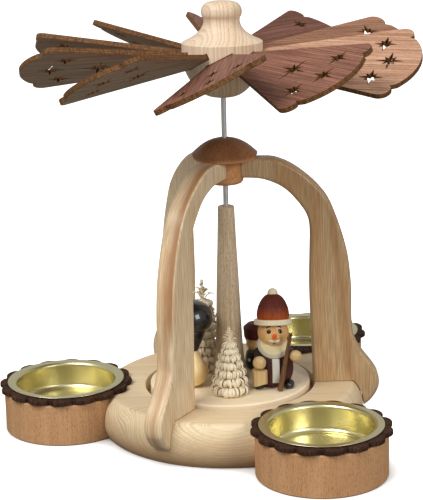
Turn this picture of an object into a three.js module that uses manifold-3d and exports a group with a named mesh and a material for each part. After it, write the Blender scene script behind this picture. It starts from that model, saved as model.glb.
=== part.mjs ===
// Candle carousel: a turned base with three arched legs, three tealight holders and a
// turntable that spins with a ten-bladed rotor on one steel spindle.
// Millimetres, +Z up, origin at the centre of the base's underside.
import * as THREE from 'three';
import { mergeVertices } from 'three/addons/utils/BufferGeometryUtils.js';
import Module from 'manifold-3d';

const wasm = await Module();
wasm.setup();

// Fits that every piece shares
const gap = 0.3;
const overrun = 1;
const weld = 0.0001;

// Base disc
const baseThickness = 16.8;
const baseRimRadius = 53.8;
const baseRimHeight = 6.5;
const baseShoulder = 4;
const baseTuck = 2;
const recessSetIn = 19.5;
const recessFloor = 11;

// Turntable, spindle and pivot
const turntableClearance = 2;
const turntableThickness = 6;
const turntableUndercut = 1;
const spindleRadius = 1;
const spindleTipLength = 1.6;
const spindleTipRadius = 0.25;
const pivotRadius = 4;
const pivotHeight = 6;
const pivotDimpleRadius = 1.9;
const pivotDimpleDepth = 1.8;

// Column round the spindle
const columnClearance = 9.3;
const columnFootRadius = 7.5;
const columnTopRadius = 3.25;
const columnEdge = 0.5;

// Legs
const legCount = 3;
const legThickness = 8;
const legWidth = 16;
const legSetIn = 4.6;
const archHeight = 109.1;
const archBeam = 7.9;
const footProud = 6.5;
const footTop = 34.1;
const footTip = 5.6;
const legEdge = 1.7;

// Crown: hub, bush and cap where the legs meet
const crownHubRadius = 7.2;
const crownHubHeight = 9.6;
const crownHubRounding = 1.6;
const bushOuterRadius = 2.3;
const bushInnerRadius = 1.35;
const capRadius = 12.9;
const capEdgeHeight = 2.2;
const capUndercut = 0.55;
const capRise = 6.2;
const capHoleRadius = 1.7;

// Tealight holders, scalloped rings and metal cups
const holderCount = 3;
const holderRadius = 25;
const holderBite = 12.1;
const holderHeight = 16.6;
const holderEdge = 0.5;
const ringThickness = 1.6;
const ringLobeCount = 16;
const ringLobeReach = 26.9;
const ringLobeDepth = 1.6;
const cupInnerRadius = 19.75;
const cupFlangeRadius = 23.5;
const cupDepth = 11;
const sheet = 0.6;
const flangeThickness = 0.5;
const cupLip = 0.3;

// Dowels
const dowelRadius = 2;
const dowelLength = 16;
const legDowelSetIn = 9.2;
const holderDowelHeight = 3.8;

// Rotor: hub and blades
const bladeCount = 10;
const bladeStartAngle = -94.1;
const bladePitch = 26;
const bladeRise = 15.2;
const bladeThickness = 2;
const bladeRootRadius = 12.6;
const bladeRootHalf = 5;
const bladeReach = 78.6;
const bladeHalfWidth = 21.7;
const bladeCornerDistance = 67.6;
const bladeCornerRadius = 4.2;
const bladeArcRadius = 23;
const bladeArcHalf = 15.8;
const bladeNotchDepth = 0.9;
const rotorClearance = 15.8;
const rotorHeight = 37.2;
const rotorBeltRadius = 15.7;
const rotorBeltRise = 14.7;
const rotorBeltWidth = 6.6;
const rotorKnobRadius = 7.9;
const rotorBoreDepth = 24;

// Cut-out stars of a blade: place along and across it, ray lengths
const starRays = 8;
const starHubRadius = 0.85;
const smallStar = { long: 4.1, short: 2.3 };
const middleStar = { long: 4.9, short: 2.7 };
const largeStar = { long: 6.3, short: 3.4 };
const smallStarAlong = 62.4;
const smallStarAcross = 10.9;
const middleStarAlong = 66.8;
const largeStarAlong = 48.5;

// Facets
const segments = { disc: 56, holder: 32, cup: 32, rotor: 30, column: 24, small: 14, pin: 10, tree: 24 };
const curveSteps = {
  archOuter: 13, archInner: 11, foot: 9, bladeArc: 6, bladeCorner: 4, rim: 6, rimFoot: 3, lobe: 6,
};

// Figures and trees on the turntable, each at a distance and a bearing from the spindle
const bearded = {
  distance: 19.3, bearing: -24.5, facing: -92,
  coatRadius: 7.9, coatBottom: 1.4, coatHeight: 15.2, headRadius: 6.3, headCentre: 21.4,
  brimRadius: 7.6, brimBottom: 24.4, brimHeight: 2.8, hatRadius: 6.2, hatHeight: 10.2, pompomRadius: 2,
  pompomHeight: 2.3, beardRadius: 6.9, beardForward: 1.3, beardDrop: 1.7,
  sleeveRadius: 1.9, shoulderOut: 5.2, shoulderHeight: 13, handRadius: 2.3,
  bootRadius: 2.4, bootHeight: 2.6, bootOut: 5.9, bootForward: 3.8,
  sackWidth: 5.2, sackHeight: 6.6, sackEdge: 0.9, sackOut: -5.4,
  staffRadius: 0.9, staffLength: 24, staffLean: 10, staffOut: 2.4, staffForward: 9.1,
};
const handPlaces = {
  left: { forward: 7.6, out: 7.9, height: 13.6 },
  right: { forward: 7.4, out: -5.6, height: 11.3 },
};
const rounded = {
  distance: 17, bearing: 206, facing: 206,
  bodyRadius: 6.4, bodyHeight: 18.6, hairRadius: 6.3, hairHeight: 9.4, hairTipRadius: 2.6, capRadius: 8.9,
  capHeight: 11.2,
};
const backward = {
  distance: 17, bearing: 50, facing: 50,
  coatRadius: 4.6, coatHeight: 7.6, headRadius: 3.9, headHeight: 4.8, hatRadius: 5, hatHeight: 4.4,
  domeHeight: 2,
};
const frontTree = { distance: 18, bearing: -90, radius: 7.8, height: 27.4, tiers: 6, tip: 6 };
const tallTree = { distance: 16.2, bearing: 131, radius: 7.9, height: 37.6, tiers: 8, tip: 7 };
const treeLobes = 12;
const treeLobeShare = 0.1;

// Sizes and places worked out from the sizes above
const baseTopRadius = baseRimRadius - baseShoulder;
const baseFootRadius = baseRimRadius - baseTuck;
const recessRadius = baseRimRadius - recessSetIn;
const turntableRadius = recessRadius - turntableClearance;
const legReach = baseRimRadius - legSetIn;
const archInnerRadius = legReach - legWidth;
const archInnerHeight = archHeight - archBeam;
const footReach = baseRimRadius + footProud;
const legDowelDistance = legReach - legDowelSetIn;
const holderDistance = baseRimRadius + holderRadius - holderBite;
const turntableBottom = recessFloor + turntableUndercut;
const turntableTop = turntableBottom + turntableThickness;
const pivotTop = recessFloor;
const spindleBottom = pivotTop - pivotDimpleDepth + gap;
const columnBottom = turntableTop + gap;
const capBottom = archHeight;
const capTop = capBottom + capEdgeHeight + capRise;
const legTop = capBottom - gap;
const crownHubBottom = legTop - crownHubHeight;
const columnHeight = crownHubBottom - columnClearance - columnBottom;
const ringBottom = baseThickness + gap;
const ringTop = ringBottom + ringThickness;
const flangeBottom = ringTop + gap;
const cupRim = flangeBottom + flangeThickness + cupLip;
const cupFloor = cupRim - cupDepth;
const pocketRadius = cupInnerRadius + sheet + gap;
const pocketFloor = cupFloor - sheet - gap;
const rotorBottom = capTop + rotorClearance;
const rotorTop = rotorBottom + rotorHeight;
const rotorBeltBottom = rotorBottom + rotorBeltRise;
const rotorBeltTop = rotorBeltBottom + rotorBeltWidth;
const rotorBoreTop = rotorBottom + rotorBoreDepth;
const spindleTop = rotorBoreTop - gap;
const bladeMidHeight = rotorBottom + bladeRise;

const woods = {
  baseAsh: { color: 0xe3c9a0, roughness: 0.6, metalness: 0 },
  legAsh: { color: 0xc9a376, roughness: 0.55, metalness: 0 },
  beech: { color: 0xc4906a, roughness: 0.6, metalness: 0 },
  crownBeech: { color: 0xb9763f, roughness: 0.55, metalness: 0 },
  walnut: { color: 0x4a2c22, roughness: 0.6, metalness: 0 },
  capBrown: { color: 0x7a4a2c, roughness: 0.5, metalness: 0 },
  columnBrown: { color: 0xa5835f, roughness: 0.6, metalness: 0 },
  turntableMaple: { color: 0xdcc3a4, roughness: 0.6, metalness: 0 },
  rotorMaple: { color: 0xeedcb8, roughness: 0.55, metalness: 0 },
  bladePly: { color: 0x8a5a44, roughness: 0.6, metalness: 0 },
  shavings: { color: 0xe6d3ae, roughness: 0.7, metalness: 0 },
  natural: { color: 0xe0bd84, roughness: 0.5, metalness: 0 },
  cream: { color: 0xf0e6cc, roughness: 0.5, metalness: 0 },
  maroon: { color: 0x4b1420, roughness: 0.4, metalness: 0 },
  hatRed: { color: 0x8c1f12, roughness: 0.35, metalness: 0 },
  black: { color: 0x141418, roughness: 0.25, metalness: 0 },
  staffBrown: { color: 0x6a4126, roughness: 0.7, metalness: 0 },
  dowel: { color: 0xc8a878, roughness: 0.7, metalness: 0 },
};
const metals = {
  gold: { color: 0xc9b45a, roughness: 0.25, metalness: 1 },
  steel: { color: 0x9a9a9c, roughness: 0.3, metalness: 1 },
  brass: { color: 0xb08d3c, roughness: 0.35, metalness: 1 },
};

// Solid and mesh helpers
function signedVolume(position, index) {
  const a = new THREE.Vector3();
  const b = new THREE.Vector3();
  const c = new THREE.Vector3();
  let sum = 0;
  for (let i = 0; i < index.length; i += 3) {
    a.fromBufferAttribute(position, index[i]);
    b.fromBufferAttribute(position, index[i + 1]);
    c.fromBufferAttribute(position, index[i + 2]);
    sum += a.dot(b.cross(c));
  }
  return sum;
}

function toSolid(geometry) {
  const plain = geometry.clone();
  for (const key of Object.keys(plain.attributes)) {
    if (key !== 'position') plain.deleteAttribute(key);
  }
  const merged = mergeVertices(plain, weld);
  const triangles = [];
  for (let i = 0; i < merged.index.count; i += 3) {
    const [a, b, c] = [0, 1, 2].map((k) => merged.index.getX(i + k));
    if (a !== b && b !== c && c !== a) triangles.push(a, b, c);
  }
  if (signedVolume(merged.attributes.position, triangles) < 0) triangles.reverse();
  return new wasm.Manifold(new wasm.Mesh({
    numProp: 3,
    vertProperties: new Float32Array(merged.attributes.position.array),
    triVerts: new Uint32Array(triangles),
  }));
}

function toGeometry(solid) {
  const { vertProperties, triVerts } = solid.getMesh();
  const geometry = new THREE.BufferGeometry();
  geometry.setAttribute('position', new THREE.BufferAttribute(new Float32Array(vertProperties), 3));
  geometry.setIndex(new THREE.BufferAttribute(new Uint32Array(triVerts), 1));
  geometry.computeVertexNormals();
  return geometry;
}

function cut(solid, ...cutters) {
  return cutters.reduce((left, cutter) => left.subtract(cutter), solid);
}

function piece(name, solid, look) {
  const mesh = new THREE.Mesh(toGeometry(solid), new THREE.MeshStandardMaterial(look));
  mesh.name = name;
  return mesh;
}

// Shapes
function lathe(profile, count) {
  const points = profile.map(([radius, height]) => new THREE.Vector2(radius, height));
  return new THREE.LatheGeometry(points, count).rotateX(Math.PI / 2);
}

function turned(profile, count) {
  return toSolid(lathe(profile, count));
}

function disc(radius, bottom, top, count) {
  return turned([[0, bottom], [radius, bottom], [radius, top], [0, top]], count);
}

function box(x0, x1, y0, y1, z0, z1) {
  const geometry = new THREE.BoxGeometry(x1 - x0, y1 - y0, z1 - z0);
  return toSolid(geometry.translate((x0 + x1) / 2, (y0 + y1) / 2, (z0 + z1) / 2));
}

function moved(solid, matrix) {
  return solid.transform(matrix.elements);
}

function turnedTo(solid, degrees) {
  return moved(solid, new THREE.Matrix4().makeRotationZ(THREE.MathUtils.degToRad(degrees)));
}

function shifted(solid, x, y, z) {
  return moved(solid, new THREE.Matrix4().makeTranslation(x, y, z));
}

function spline(points, steps) {
  return new THREE.SplineCurve(points.map(([x, y]) => new THREE.Vector2(x, y))).getPoints(steps);
}

function ball(radius, squash = 1) {
  const rings = segments.small / 2;
  const profile = Array.from({ length: rings + 1 }, (_, i) => {
    const angle = -Math.PI / 2 + (Math.PI * i) / rings;
    return [i % rings === 0 ? 0 : radius * Math.cos(angle), radius * squash * Math.sin(angle)];
  });
  return turned(profile, segments.small);
}

function bearings(count, first = 0) {
  return Array.from({ length: count }, (_, i) => first + (360 * i) / count);
}

function stationed(objects, place, height) {
  const group = new THREE.Group();
  const angle = THREE.MathUtils.degToRad(place.bearing);
  group.position.set(place.distance * Math.cos(angle), place.distance * Math.sin(angle), height);
  group.rotation.z = THREE.MathUtils.degToRad(place.facing ?? 0);
  group.add(...objects);
  return group;
}

// Base disc: rounded rim, turntable recess, pivot bore, holder bites, dowel holes
const legBearings = bearings(legCount);
const holderBearings = bearings(holderCount, 180 / holderCount);

// Points from a height on the rim's widest circle to an edge drawn in from it, along one round arc
function rimArc(rise, drawIn, grow, steps) {
  const radius = (rise * rise + drawIn * drawIn) / (2 * drawIn);
  const sweep = Math.asin(rise / radius);
  return Array.from({ length: steps + 1 }, (_, i) => {
    const angle = (sweep * i) / steps;
    const outwards = baseRimRadius + grow - radius + radius * Math.cos(angle);
    return [outwards, radius * Math.sin(angle)];
  });
}

function rimProfile(grow) {
  const lower = rimArc(baseRimHeight, baseRimRadius - baseFootRadius, grow, curveSteps.rimFoot)
    .map(([r, z]) => [r, baseRimHeight - z]).reverse();
  const upper = rimArc(baseThickness - baseRimHeight, baseRimRadius - baseTopRadius, grow, curveSteps.rim)
    .map(([r, z]) => [r, baseRimHeight + z]);
  return [...lower, ...upper.slice(1)];
}

// The dowels between the base and the legs or holders; with a margin they are the holes for them
function legDowel(margin = 0) {
  const half = dowelLength / 2 + margin;
  const pin = disc(dowelRadius + margin, baseThickness - half, baseThickness + half, segments.pin);
  return shifted(pin, legDowelDistance, 0, 0);
}

function lyingCylinder(radius, from, to, height) {
  const geometry = lathe([[0, from], [radius, from], [radius, to], [0, to]], segments.pin);
  return shifted(toSolid(geometry.rotateY(Math.PI / 2)), 0, 0, height);
}

const holderSeam = holderDistance - holderRadius;

function holderDowel(margin = 0) {
  const half = dowelLength / 2 + margin;
  return lyingCylinder(dowelRadius + margin, holderSeam - half, holderSeam + half, holderDowelHeight);
}

function baseDisc() {
  const body = turned([[0, 0], ...rimProfile(0), [0, baseThickness]], segments.disc);
  const recess = disc(recessRadius, recessFloor, baseThickness + overrun, segments.disc);
  const pivotFloor = pivotTop - pivotHeight - gap;
  const pivotBore = disc(pivotRadius + gap, pivotFloor, recessFloor + overrun, segments.small);
  const bite = shifted(
    disc(holderRadius + gap, -overrun, baseThickness + overrun, segments.holder), holderDistance, 0, 0);
  const legCuts = legBearings.map((a) => turnedTo(legDowel(gap), a));
  const holderCuts = holderBearings.flatMap((a) => [turnedTo(bite, a), turnedTo(holderDowel(gap), a)]);
  return cut(body, recess, pivotBore, ...legCuts, ...holderCuts);
}

// Leg outline: distance from the spindle axis and height, as shares of the arch and the foot
const outerShares = [
  [0.08, 1], [0.34, 1], [0.44, 0.99], [0.54, 0.968], [0.65, 0.931], [0.745, 0.889], [0.825, 0.839],
  [0.89, 0.768], [0.937, 0.702], [0.972, 0.636], [0.99, 0.571], [1, 0.507], [1, 0.44], [0.997, 0.375],
];
const innerShares = [
  [1.015, 0.165], [1.003, 0.326], [0.982, 0.54], [0.99, 0.69], [0.995, 0.785], [0.965, 0.84],
  [0.905, 0.878], [0.805, 0.92], [0.705, 0.952], [0.585, 0.976], [0.42, 0.995], [0.22, 1], [0.1, 1],
];
const footShares = [
  [0, 1], [0.09, 0.93], [0.34, 0.756], [0.685, 0.634], [0.92, 0.52], [1, 0.4], [0.98, 0.29], [0.88, 0.2],
  [0.7, 0.1], [0.49, 0.035], [0.3, 0],
];

function legOutline() {
  const outer = spline(outerShares.map(([r, z]) => [r * legReach, z * archHeight]), curveSteps.archOuter);
  const spread = footReach - legReach;
  const foot = spline(
    footShares.map(([r, z]) => [legReach + r * spread, footTip + z * (footTop - footTip)]), curveSteps.foot);
  const inner = spline(
    innerShares.map(([r, z]) => [r * archInnerRadius, z * archInnerHeight]), curveSteps.archInner);
  const heel = new THREE.Vector2(inner[0].x, footTip);
  return new THREE.Shape([...outer, ...foot, heel, ...inner]);
}

// The leg stands on the base and its foot follows the rim, so the base's own outline cuts it
function leg() {
  const geometry = new THREE.ExtrudeGeometry(legOutline(), {
    depth: legThickness - 2 * legEdge, bevelThickness: legEdge, bevelSize: legEdge, bevelOffset: -legEdge,
    bevelSegments: 2, curveSegments: 1,
  });
  geometry.translate(0, 0, legEdge - legThickness / 2).rotateX(Math.PI / 2);
  const profile = rimProfile(gap).map(([r, z]) => [r, z + gap]);
  const base = turned([[0, gap], ...profile, [0, baseThickness + gap]], segments.disc);
  const crown = disc(crownHubRadius + gap, 0, archHeight + overrun, segments.column);
  const cap = disc(capRadius + gap, legTop, archHeight + capEdgeHeight, segments.column);
  return cut(toSolid(geometry), base, crown, cap, legDowel(gap));
}

// Crown: the hub's lower edge is rounded, the cap is a dome over a short straight edge
const hubEdgeShares = [[1, 0], [0.3, 0.3], [0, 1]];

function crownHub() {
  const edge = hubEdgeShares.map(([r, z]) => [
    crownHubRadius - r * crownHubRounding, crownHubBottom + z * crownHubRounding,
  ]);
  const profile = [[0, crownHubBottom], ...edge, [crownHubRadius, legTop], [0, legTop]];
  const bore = disc(bushOuterRadius + gap, crownHubBottom - overrun, legTop + overrun, segments.small);
  return cut(turned(profile, segments.column), bore);
}

function crownBush() {
  const body = disc(bushOuterRadius, crownHubBottom, legTop, segments.small);
  return cut(body, disc(bushInnerRadius, crownHubBottom - overrun, legTop + overrun, segments.small));
}

const domeShares = [[1, 0], [0.93, 0.14], [0.78, 0.42], [0.6, 0.68], [0.4, 0.87], [0.2, 0.97], [0, 1]];

function crownCap() {
  const edgeTop = capBottom + capEdgeHeight;
  const dome = domeShares.map(([r, z]) => [r * capRadius, edgeTop + z * capRise]);
  const body = turned([[0, capBottom], [capRadius - capUndercut, capBottom], ...dome], segments.column);
  return cut(body, disc(capHoleRadius, capBottom - overrun, capTop + overrun, segments.small));
}

// Tealight holder, its scalloped ring and its metal cup, each centred on the spindle axis
function holder() {
  const body = turned([
    [0, 0], [holderRadius - holderEdge, 0], [holderRadius, holderEdge], [holderRadius, holderHeight],
    [0, holderHeight],
  ], segments.holder);
  const pocket = disc(pocketRadius, pocketFloor, holderHeight + overrun, segments.cup);
  return cut(body, pocket, shifted(holderDowel(gap), -holderDistance, 0, 0));
}

function scallopedRing() {
  const lobeAngle = Math.PI / ringLobeCount;
  const outline = [];
  for (let i = 0; i < ringLobeCount * curveSteps.lobe; i += 1) {
    const angle = (2 * lobeAngle * i) / curveSteps.lobe;
    const dip = 1 - Math.abs(Math.sin((ringLobeCount * angle) / 2));
    const radius = ringLobeReach - ringLobeDepth * dip;
    outline.push(new THREE.Vector2(radius * Math.cos(angle), radius * Math.sin(angle)));
  }
  const shape = new THREE.Shape(outline);
  const geometry = new THREE.ExtrudeGeometry(shape, { depth: ringThickness, bevelEnabled: false });
  const hole = disc(pocketRadius, ringBottom - overrun, ringTop + overrun, segments.cup);
  return cut(toSolid(geometry.translate(0, 0, ringBottom)), hole);
}

function cup() {
  const outer = cupInnerRadius + sheet;
  const flangeTop = flangeBottom + flangeThickness;
  return turned([
    [0, cupFloor - sheet], [outer, cupFloor - sheet], [outer, flangeBottom], [cupFlangeRadius, flangeBottom],
    [cupFlangeRadius, flangeTop], [outer + cupLip, flangeTop], [outer, cupRim], [cupInnerRadius, flangeTop],
    [cupInnerRadius, cupFloor], [0, cupFloor],
  ], segments.cup);
}

// Running gear
function pivotCup() {
  const bottom = pivotTop - pivotHeight;
  return turned([
    [0, bottom], [pivotRadius, bottom], [pivotRadius, pivotTop], [pivotDimpleRadius, pivotTop],
    [0, pivotTop - pivotDimpleDepth],
  ], segments.small);
}

function spindle() {
  return turned([
    [0, spindleBottom], [spindleTipRadius, spindleBottom], [spindleRadius, spindleBottom + spindleTipLength],
    [spindleRadius, spindleTop], [0, spindleTop],
  ], segments.pin);
}

function spindleBore(bottom, top) {
  return disc(spindleRadius + gap, bottom - overrun, top + overrun, segments.pin);
}

function turntable() {
  const body = disc(turntableRadius, turntableBottom, turntableTop, segments.disc);
  return cut(body, spindleBore(turntableBottom, turntableTop));
}

const columnShares = [[1, 0], [0.93, 0.025], [0.76, 0.16], [0.67, 0.34], [0.6, 0.56], [0.5, 0.8]];

function column() {
  const top = columnBottom + columnHeight;
  const side = columnShares.map(([r, z]) => [r * columnFootRadius, columnBottom + z * columnHeight]);
  const profile = [
    [0, columnBottom], ...side, [columnTopRadius, top - columnEdge], [columnTopRadius - columnEdge, top],
    [0, top],
  ];
  return cut(turned(profile, segments.column), spindleBore(columnBottom, top));
}

// Rotor blade: a fan-shaped board with rounded corners, a bowed end and four stars
function arc(cx, cy, radius, from, to, steps) {
  return Array.from({ length: steps + 1 }, (_, i) => {
    const angle = from + ((to - from) * i) / steps;
    return new THREE.Vector2(cx + radius * Math.cos(angle), cy + radius * Math.sin(angle));
  });
}

const cornerAcross = bladeHalfWidth - bladeCornerRadius;
const bladeSlope = Math.atan2(bladeHalfWidth - bladeRootHalf, bladeCornerDistance - bladeRootRadius);

function bladeOutline() {
  const arcCentre = bladeReach - bladeArcRadius;
  const sweep = Math.asin(bladeArcHalf / bladeArcRadius);
  const stop = Math.asin((bladeArcHalf + bladeNotchDepth - cornerAcross) / bladeCornerRadius);
  const end = arc(arcCentre, 0, bladeArcRadius, -sweep, sweep, curveSteps.bladeArc);
  const start = Math.PI / 2 + bladeSlope;
  const corner = arc(
    bladeCornerDistance, cornerAcross, bladeCornerRadius, stop, start, curveSteps.bladeCorner);
  const notch = new THREE.Vector2(corner[0].x - bladeNotchDepth, bladeArcHalf);
  const upper = [notch, ...corner, new THREE.Vector2(bladeRootRadius, bladeRootHalf)];
  const lower = upper.map((point) => new THREE.Vector2(point.x, -point.y)).reverse();
  return [...lower, ...end, ...upper];
}

function starHole(along, across, size) {
  const points = [];
  for (let i = 0; i < 2 * starRays; i += 1) {
    const ray = i % 4 === 0 ? size.long : size.short;
    const radius = i % 2 === 0 ? ray : starHubRadius;
    const angle = (Math.PI * i) / starRays;
    points.push(new THREE.Vector2(along + radius * Math.cos(angle), across + radius * Math.sin(angle)));
  }
  return new THREE.Path(points);
}

function blade() {
  const shape = new THREE.Shape(bladeOutline());
  shape.holes.push(
    starHole(smallStarAlong, smallStarAcross, smallStar),
    starHole(smallStarAlong, -smallStarAcross, smallStar),
    starHole(middleStarAlong, 0, middleStar), starHole(largeStarAlong, 0, largeStar));
  const geometry = new THREE.ExtrudeGeometry(shape, { depth: bladeThickness, bevelEnabled: false });
  return toSolid(geometry.translate(0, 0, -bladeThickness / 2));
}

// Rotor hub: shares of the belt radius with heights as shares of bowl, shoulder and knob
const bowlShares = [[0, 0], [0.25, 0.012], [0.45, 0.08], [0.64, 0.24], [0.82, 0.48], [0.94, 0.75], [1, 1]];
const shoulderShares = [[0.96, 0.05], [0.78, 0.2], [0.6, 0.4], [0.49, 0.62], [0.447, 0.84], [0.455, 1]];
const knobShares = [[0.95, 0.08], [1, 0.3], [0.96, 0.6], [0.78, 0.86], [0.45, 0.98], [0, 1]];
const shoulderShare = 0.6;

function bladeMatrix(degrees) {
  const place = new THREE.Matrix4().makeRotationZ(THREE.MathUtils.degToRad(degrees));
  place.multiply(new THREE.Matrix4().makeTranslation(0, 0, bladeMidHeight));
  return place.multiply(new THREE.Matrix4().makeRotationX(THREE.MathUtils.degToRad(bladePitch)));
}

function bladeSlot() {
  const half = (radius) => bladeRootHalf + gap + (radius - bladeRootRadius) * Math.tan(bladeSlope);
  const far = rotorBeltRadius + overrun;
  const near = bladeRootRadius - gap;
  const shape = new THREE.Shape([
    new THREE.Vector2(near, -half(near)), new THREE.Vector2(far, -half(far)),
    new THREE.Vector2(far, half(far)), new THREE.Vector2(near, half(near)),
  ]);
  const thickness = bladeThickness + 2 * gap;
  const geometry = new THREE.ExtrudeGeometry(shape, { depth: thickness, bevelEnabled: false });
  return toSolid(geometry.translate(0, 0, -thickness / 2));
}

function rotorHub() {
  const shoulderHeight = (rotorTop - rotorBeltTop) * shoulderShare;
  const knobBottom = rotorBeltTop + shoulderHeight;
  const profile = [
    ...bowlShares.map(([r, z]) => [r * rotorBeltRadius, rotorBottom + z * (rotorBeltBottom - rotorBottom)]),
    [rotorBeltRadius, rotorBeltTop],
    ...shoulderShares.map(([r, z]) => [r * rotorBeltRadius, rotorBeltTop + z * shoulderHeight]),
    ...knobShares.map(([r, z]) => [r * rotorKnobRadius, knobBottom + z * (rotorTop - knobBottom)]),
  ];
  const bore = disc(spindleRadius + gap, rotorBottom - overrun, rotorBoreTop, segments.pin);
  const slots = bearings(bladeCount, bladeStartAngle).map((a) => moved(bladeSlot(), bladeMatrix(a)));
  return cut(turned(profile, segments.rotor), bore, ...slots);
}

// Curled tree: overlapping tiers whose edges are lobed like rows of curls
const tierShares = {
  waist: 0.74, brow: 0.86, browRise: 0.8, edgeRise: 0.35, narrowing: 0.72, tipWidth: 0.12,
};

function treeProfile(tree) {
  const top = tree.height - tree.tip;
  const rise = top / tree.tiers;
  const profile = [[0, 0]];
  for (let i = 0; i < tree.tiers; i += 1) {
    const width = (tree.radius * (1 - (i / tree.tiers) * tierShares.narrowing)) / (1 + treeLobeShare);
    profile.push([width * tierShares.waist, i * rise], [width, (i + tierShares.edgeRise) * rise]);
    profile.push([width * tierShares.brow, (i + tierShares.browRise) * rise]);
  }
  profile.push([tree.radius * tierShares.tipWidth, top + rise * tierShares.edgeRise], [0, tree.height]);
  return profile;
}

function curledTree(tree) {
  const geometry = lathe(treeProfile(tree), segments.tree);
  const position = geometry.attributes.position;
  for (let i = 0; i < position.count; i += 1) {
    const [x, y] = [position.getX(i), position.getY(i)];
    const swell = 1 + treeLobeShare * Math.cos(treeLobes * Math.atan2(y, x));
    position.setXY(i, x * swell, y * swell);
  }
  return toSolid(geometry);
}

// A turned form whose outline is given as shares of its radius and height
function turnedShares(shares, radius, bottom, height) {
  const side = shares.map(([r, z]) => [r * radius, bottom + z * height]);
  return turned([[0, bottom], ...side, [0, bottom + height]], segments.small);
}

function ballAt(radius, x, y, z, squash = 1) {
  return shifted(ball(radius, squash), x, y, z);
}

// Bearded figure in a long coat, standing at the origin of its group and facing along +X
const coatShares = [[0.78, 0], [0.95, 0.2], [1, 0.42], [0.93, 0.66], [0.74, 0.88], [0.5, 1]];
const pointedHatShares = [[1, 0], [0.98, 0.2], [0.89, 0.48], [0.72, 0.74], [0.5, 0.91], [0.3, 1]];
const pompomShares = [[1, 0], [0.85, 0.5], [0.45, 0.92]];

function coatRoom() {
  const { coatRadius, coatBottom, coatHeight } = bearded;
  return turnedShares(coatShares, coatRadius + gap, coatBottom - gap, coatHeight + gap);
}

function beardedHead() {
  const f = bearded;
  const wide = f.brimRadius + f.coatRadius;
  const head = ballAt(f.headRadius, 0, 0, f.headCentre);
  const headRoom = ballAt(f.headRadius + gap, 0, 0, f.headCentre);
  const cheek = f.headCentre - f.beardDrop;
  const beard = ballAt(f.beardRadius, f.beardForward, 0, cheek);
  const beardRoom = ballAt(f.beardRadius + gap, f.beardForward, 0, cheek);
  const nape = box(-wide, -f.beardForward, -wide, wide, 0, cheek + wide);
  const aboveCheek = disc(wide, cheek, cheek + wide, segments.small);
  const coat = turnedShares(coatShares, f.coatRadius, f.coatBottom, f.coatHeight);
  const underBrim = disc(wide, f.brimBottom - gap, f.headCentre + wide, segments.small);
  const hatBottom = f.brimBottom + f.brimHeight + gap;
  const pompomBottom = hatBottom + f.hatHeight + gap;
  return [
    piece('bearded_figure_coat', cut(coat, headRoom, beardRoom), woods.maroon),
    piece('bearded_figure_head', cut(head, underBrim), woods.natural),
    piece('bearded_figure_beard', cut(beard, headRoom, nape, aboveCheek), woods.cream),
    piece(
      'bearded_figure_brim', disc(f.brimRadius, f.brimBottom, f.brimBottom + f.brimHeight, segments.small),
      woods.cream),
    piece(
      'bearded_figure_hat', turnedShares(pointedHatShares, f.hatRadius, hatBottom, f.hatHeight),
      woods.hatRed),
    piece(
      'bearded_figure_pompom', turnedShares(pompomShares, f.pompomRadius, pompomBottom, f.pompomHeight),
      woods.cream),
  ];
}

function beardedStaff(radius) {
  const f = bearded;
  const leaning = new THREE.Matrix4().makeRotationX(THREE.MathUtils.degToRad(-f.staffLean));
  const rod = moved(disc(radius, 0, f.staffLength, segments.pin), leaning);
  return shifted(rod, f.staffForward, f.staffOut, 0);
}

function beardedSack(margin) {
  const f = bearded;
  const half = f.sackWidth / 2 + margin;
  const flat = half - f.sackEdge;
  const outline = [
    [flat, half], [half, flat], [half, -flat], [flat, -half], [-flat, -half], [-half, -flat], [-half, flat],
    [-flat, half],
  ].map(([x, y]) => new THREE.Vector2(x, y));
  const depth = f.sackHeight + 2 * margin;
  const prism = toSolid(new THREE.ExtrudeGeometry(new THREE.Shape(outline), { depth, bevelEnabled: false }));
  const top = handPlaces.right.height - f.handRadius - gap;
  return shifted(prism, handPlaces.right.forward, f.sackOut, top - f.sackHeight - margin);
}

// A round rod from one point to another
function rodBetween(from, to, radius) {
  const way = new THREE.Vector3().subVectors(to, from);
  const turn = new THREE.Quaternion().setFromUnitVectors(new THREE.Vector3(0, 0, 1), way.clone().normalize());
  const place = new THREE.Matrix4().compose(from, turn, new THREE.Vector3(1, 1, 1));
  return moved(disc(radius, 0, way.length(), segments.pin), place);
}

function beardedLimbs(side, sign) {
  const f = bearded;
  const { forward, out, height } = handPlaces[side];
  const boot = ballAt(f.bootRadius, f.bootForward, sign * f.bootOut, 0, f.bootHeight / f.bootRadius);
  const ground = disc(f.distance, -f.bootHeight - overrun, 0, segments.small);
  const handRoom = ballAt(f.handRadius + gap, forward, out, height);
  const shoulder = new THREE.Vector3(0, sign * f.shoulderOut, f.shoulderHeight);
  const sleeve = rodBetween(shoulder, new THREE.Vector3(forward, out, height), f.sleeveRadius);
  const beardRoom = ballAt(f.beardRadius + gap, f.beardForward, 0, f.headCentre - f.beardDrop);
  const hand = cut(ballAt(f.handRadius, forward, out, height), coatRoom(), beardedStaff(f.staffRadius + gap));
  return [
    piece(`bearded_figure_boot_${side}`, cut(boot, ground, coatRoom(), beardedSack(gap)), woods.black),
    piece(`bearded_figure_sleeve_${side}`, cut(sleeve, coatRoom(), handRoom, beardRoom), woods.maroon),
    piece(`bearded_figure_hand_${side}`, hand, woods.natural),
  ];
}

function beardedLuggage() {
  const ground = disc(bearded.distance, -bearded.staffLength, 0, segments.small);
  return [
    piece('bearded_figure_sack', cut(beardedSack(0), coatRoom()), woods.natural),
    piece('bearded_figure_staff', cut(beardedStaff(bearded.staffRadius), ground), woods.staffBrown),
  ];
}

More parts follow.
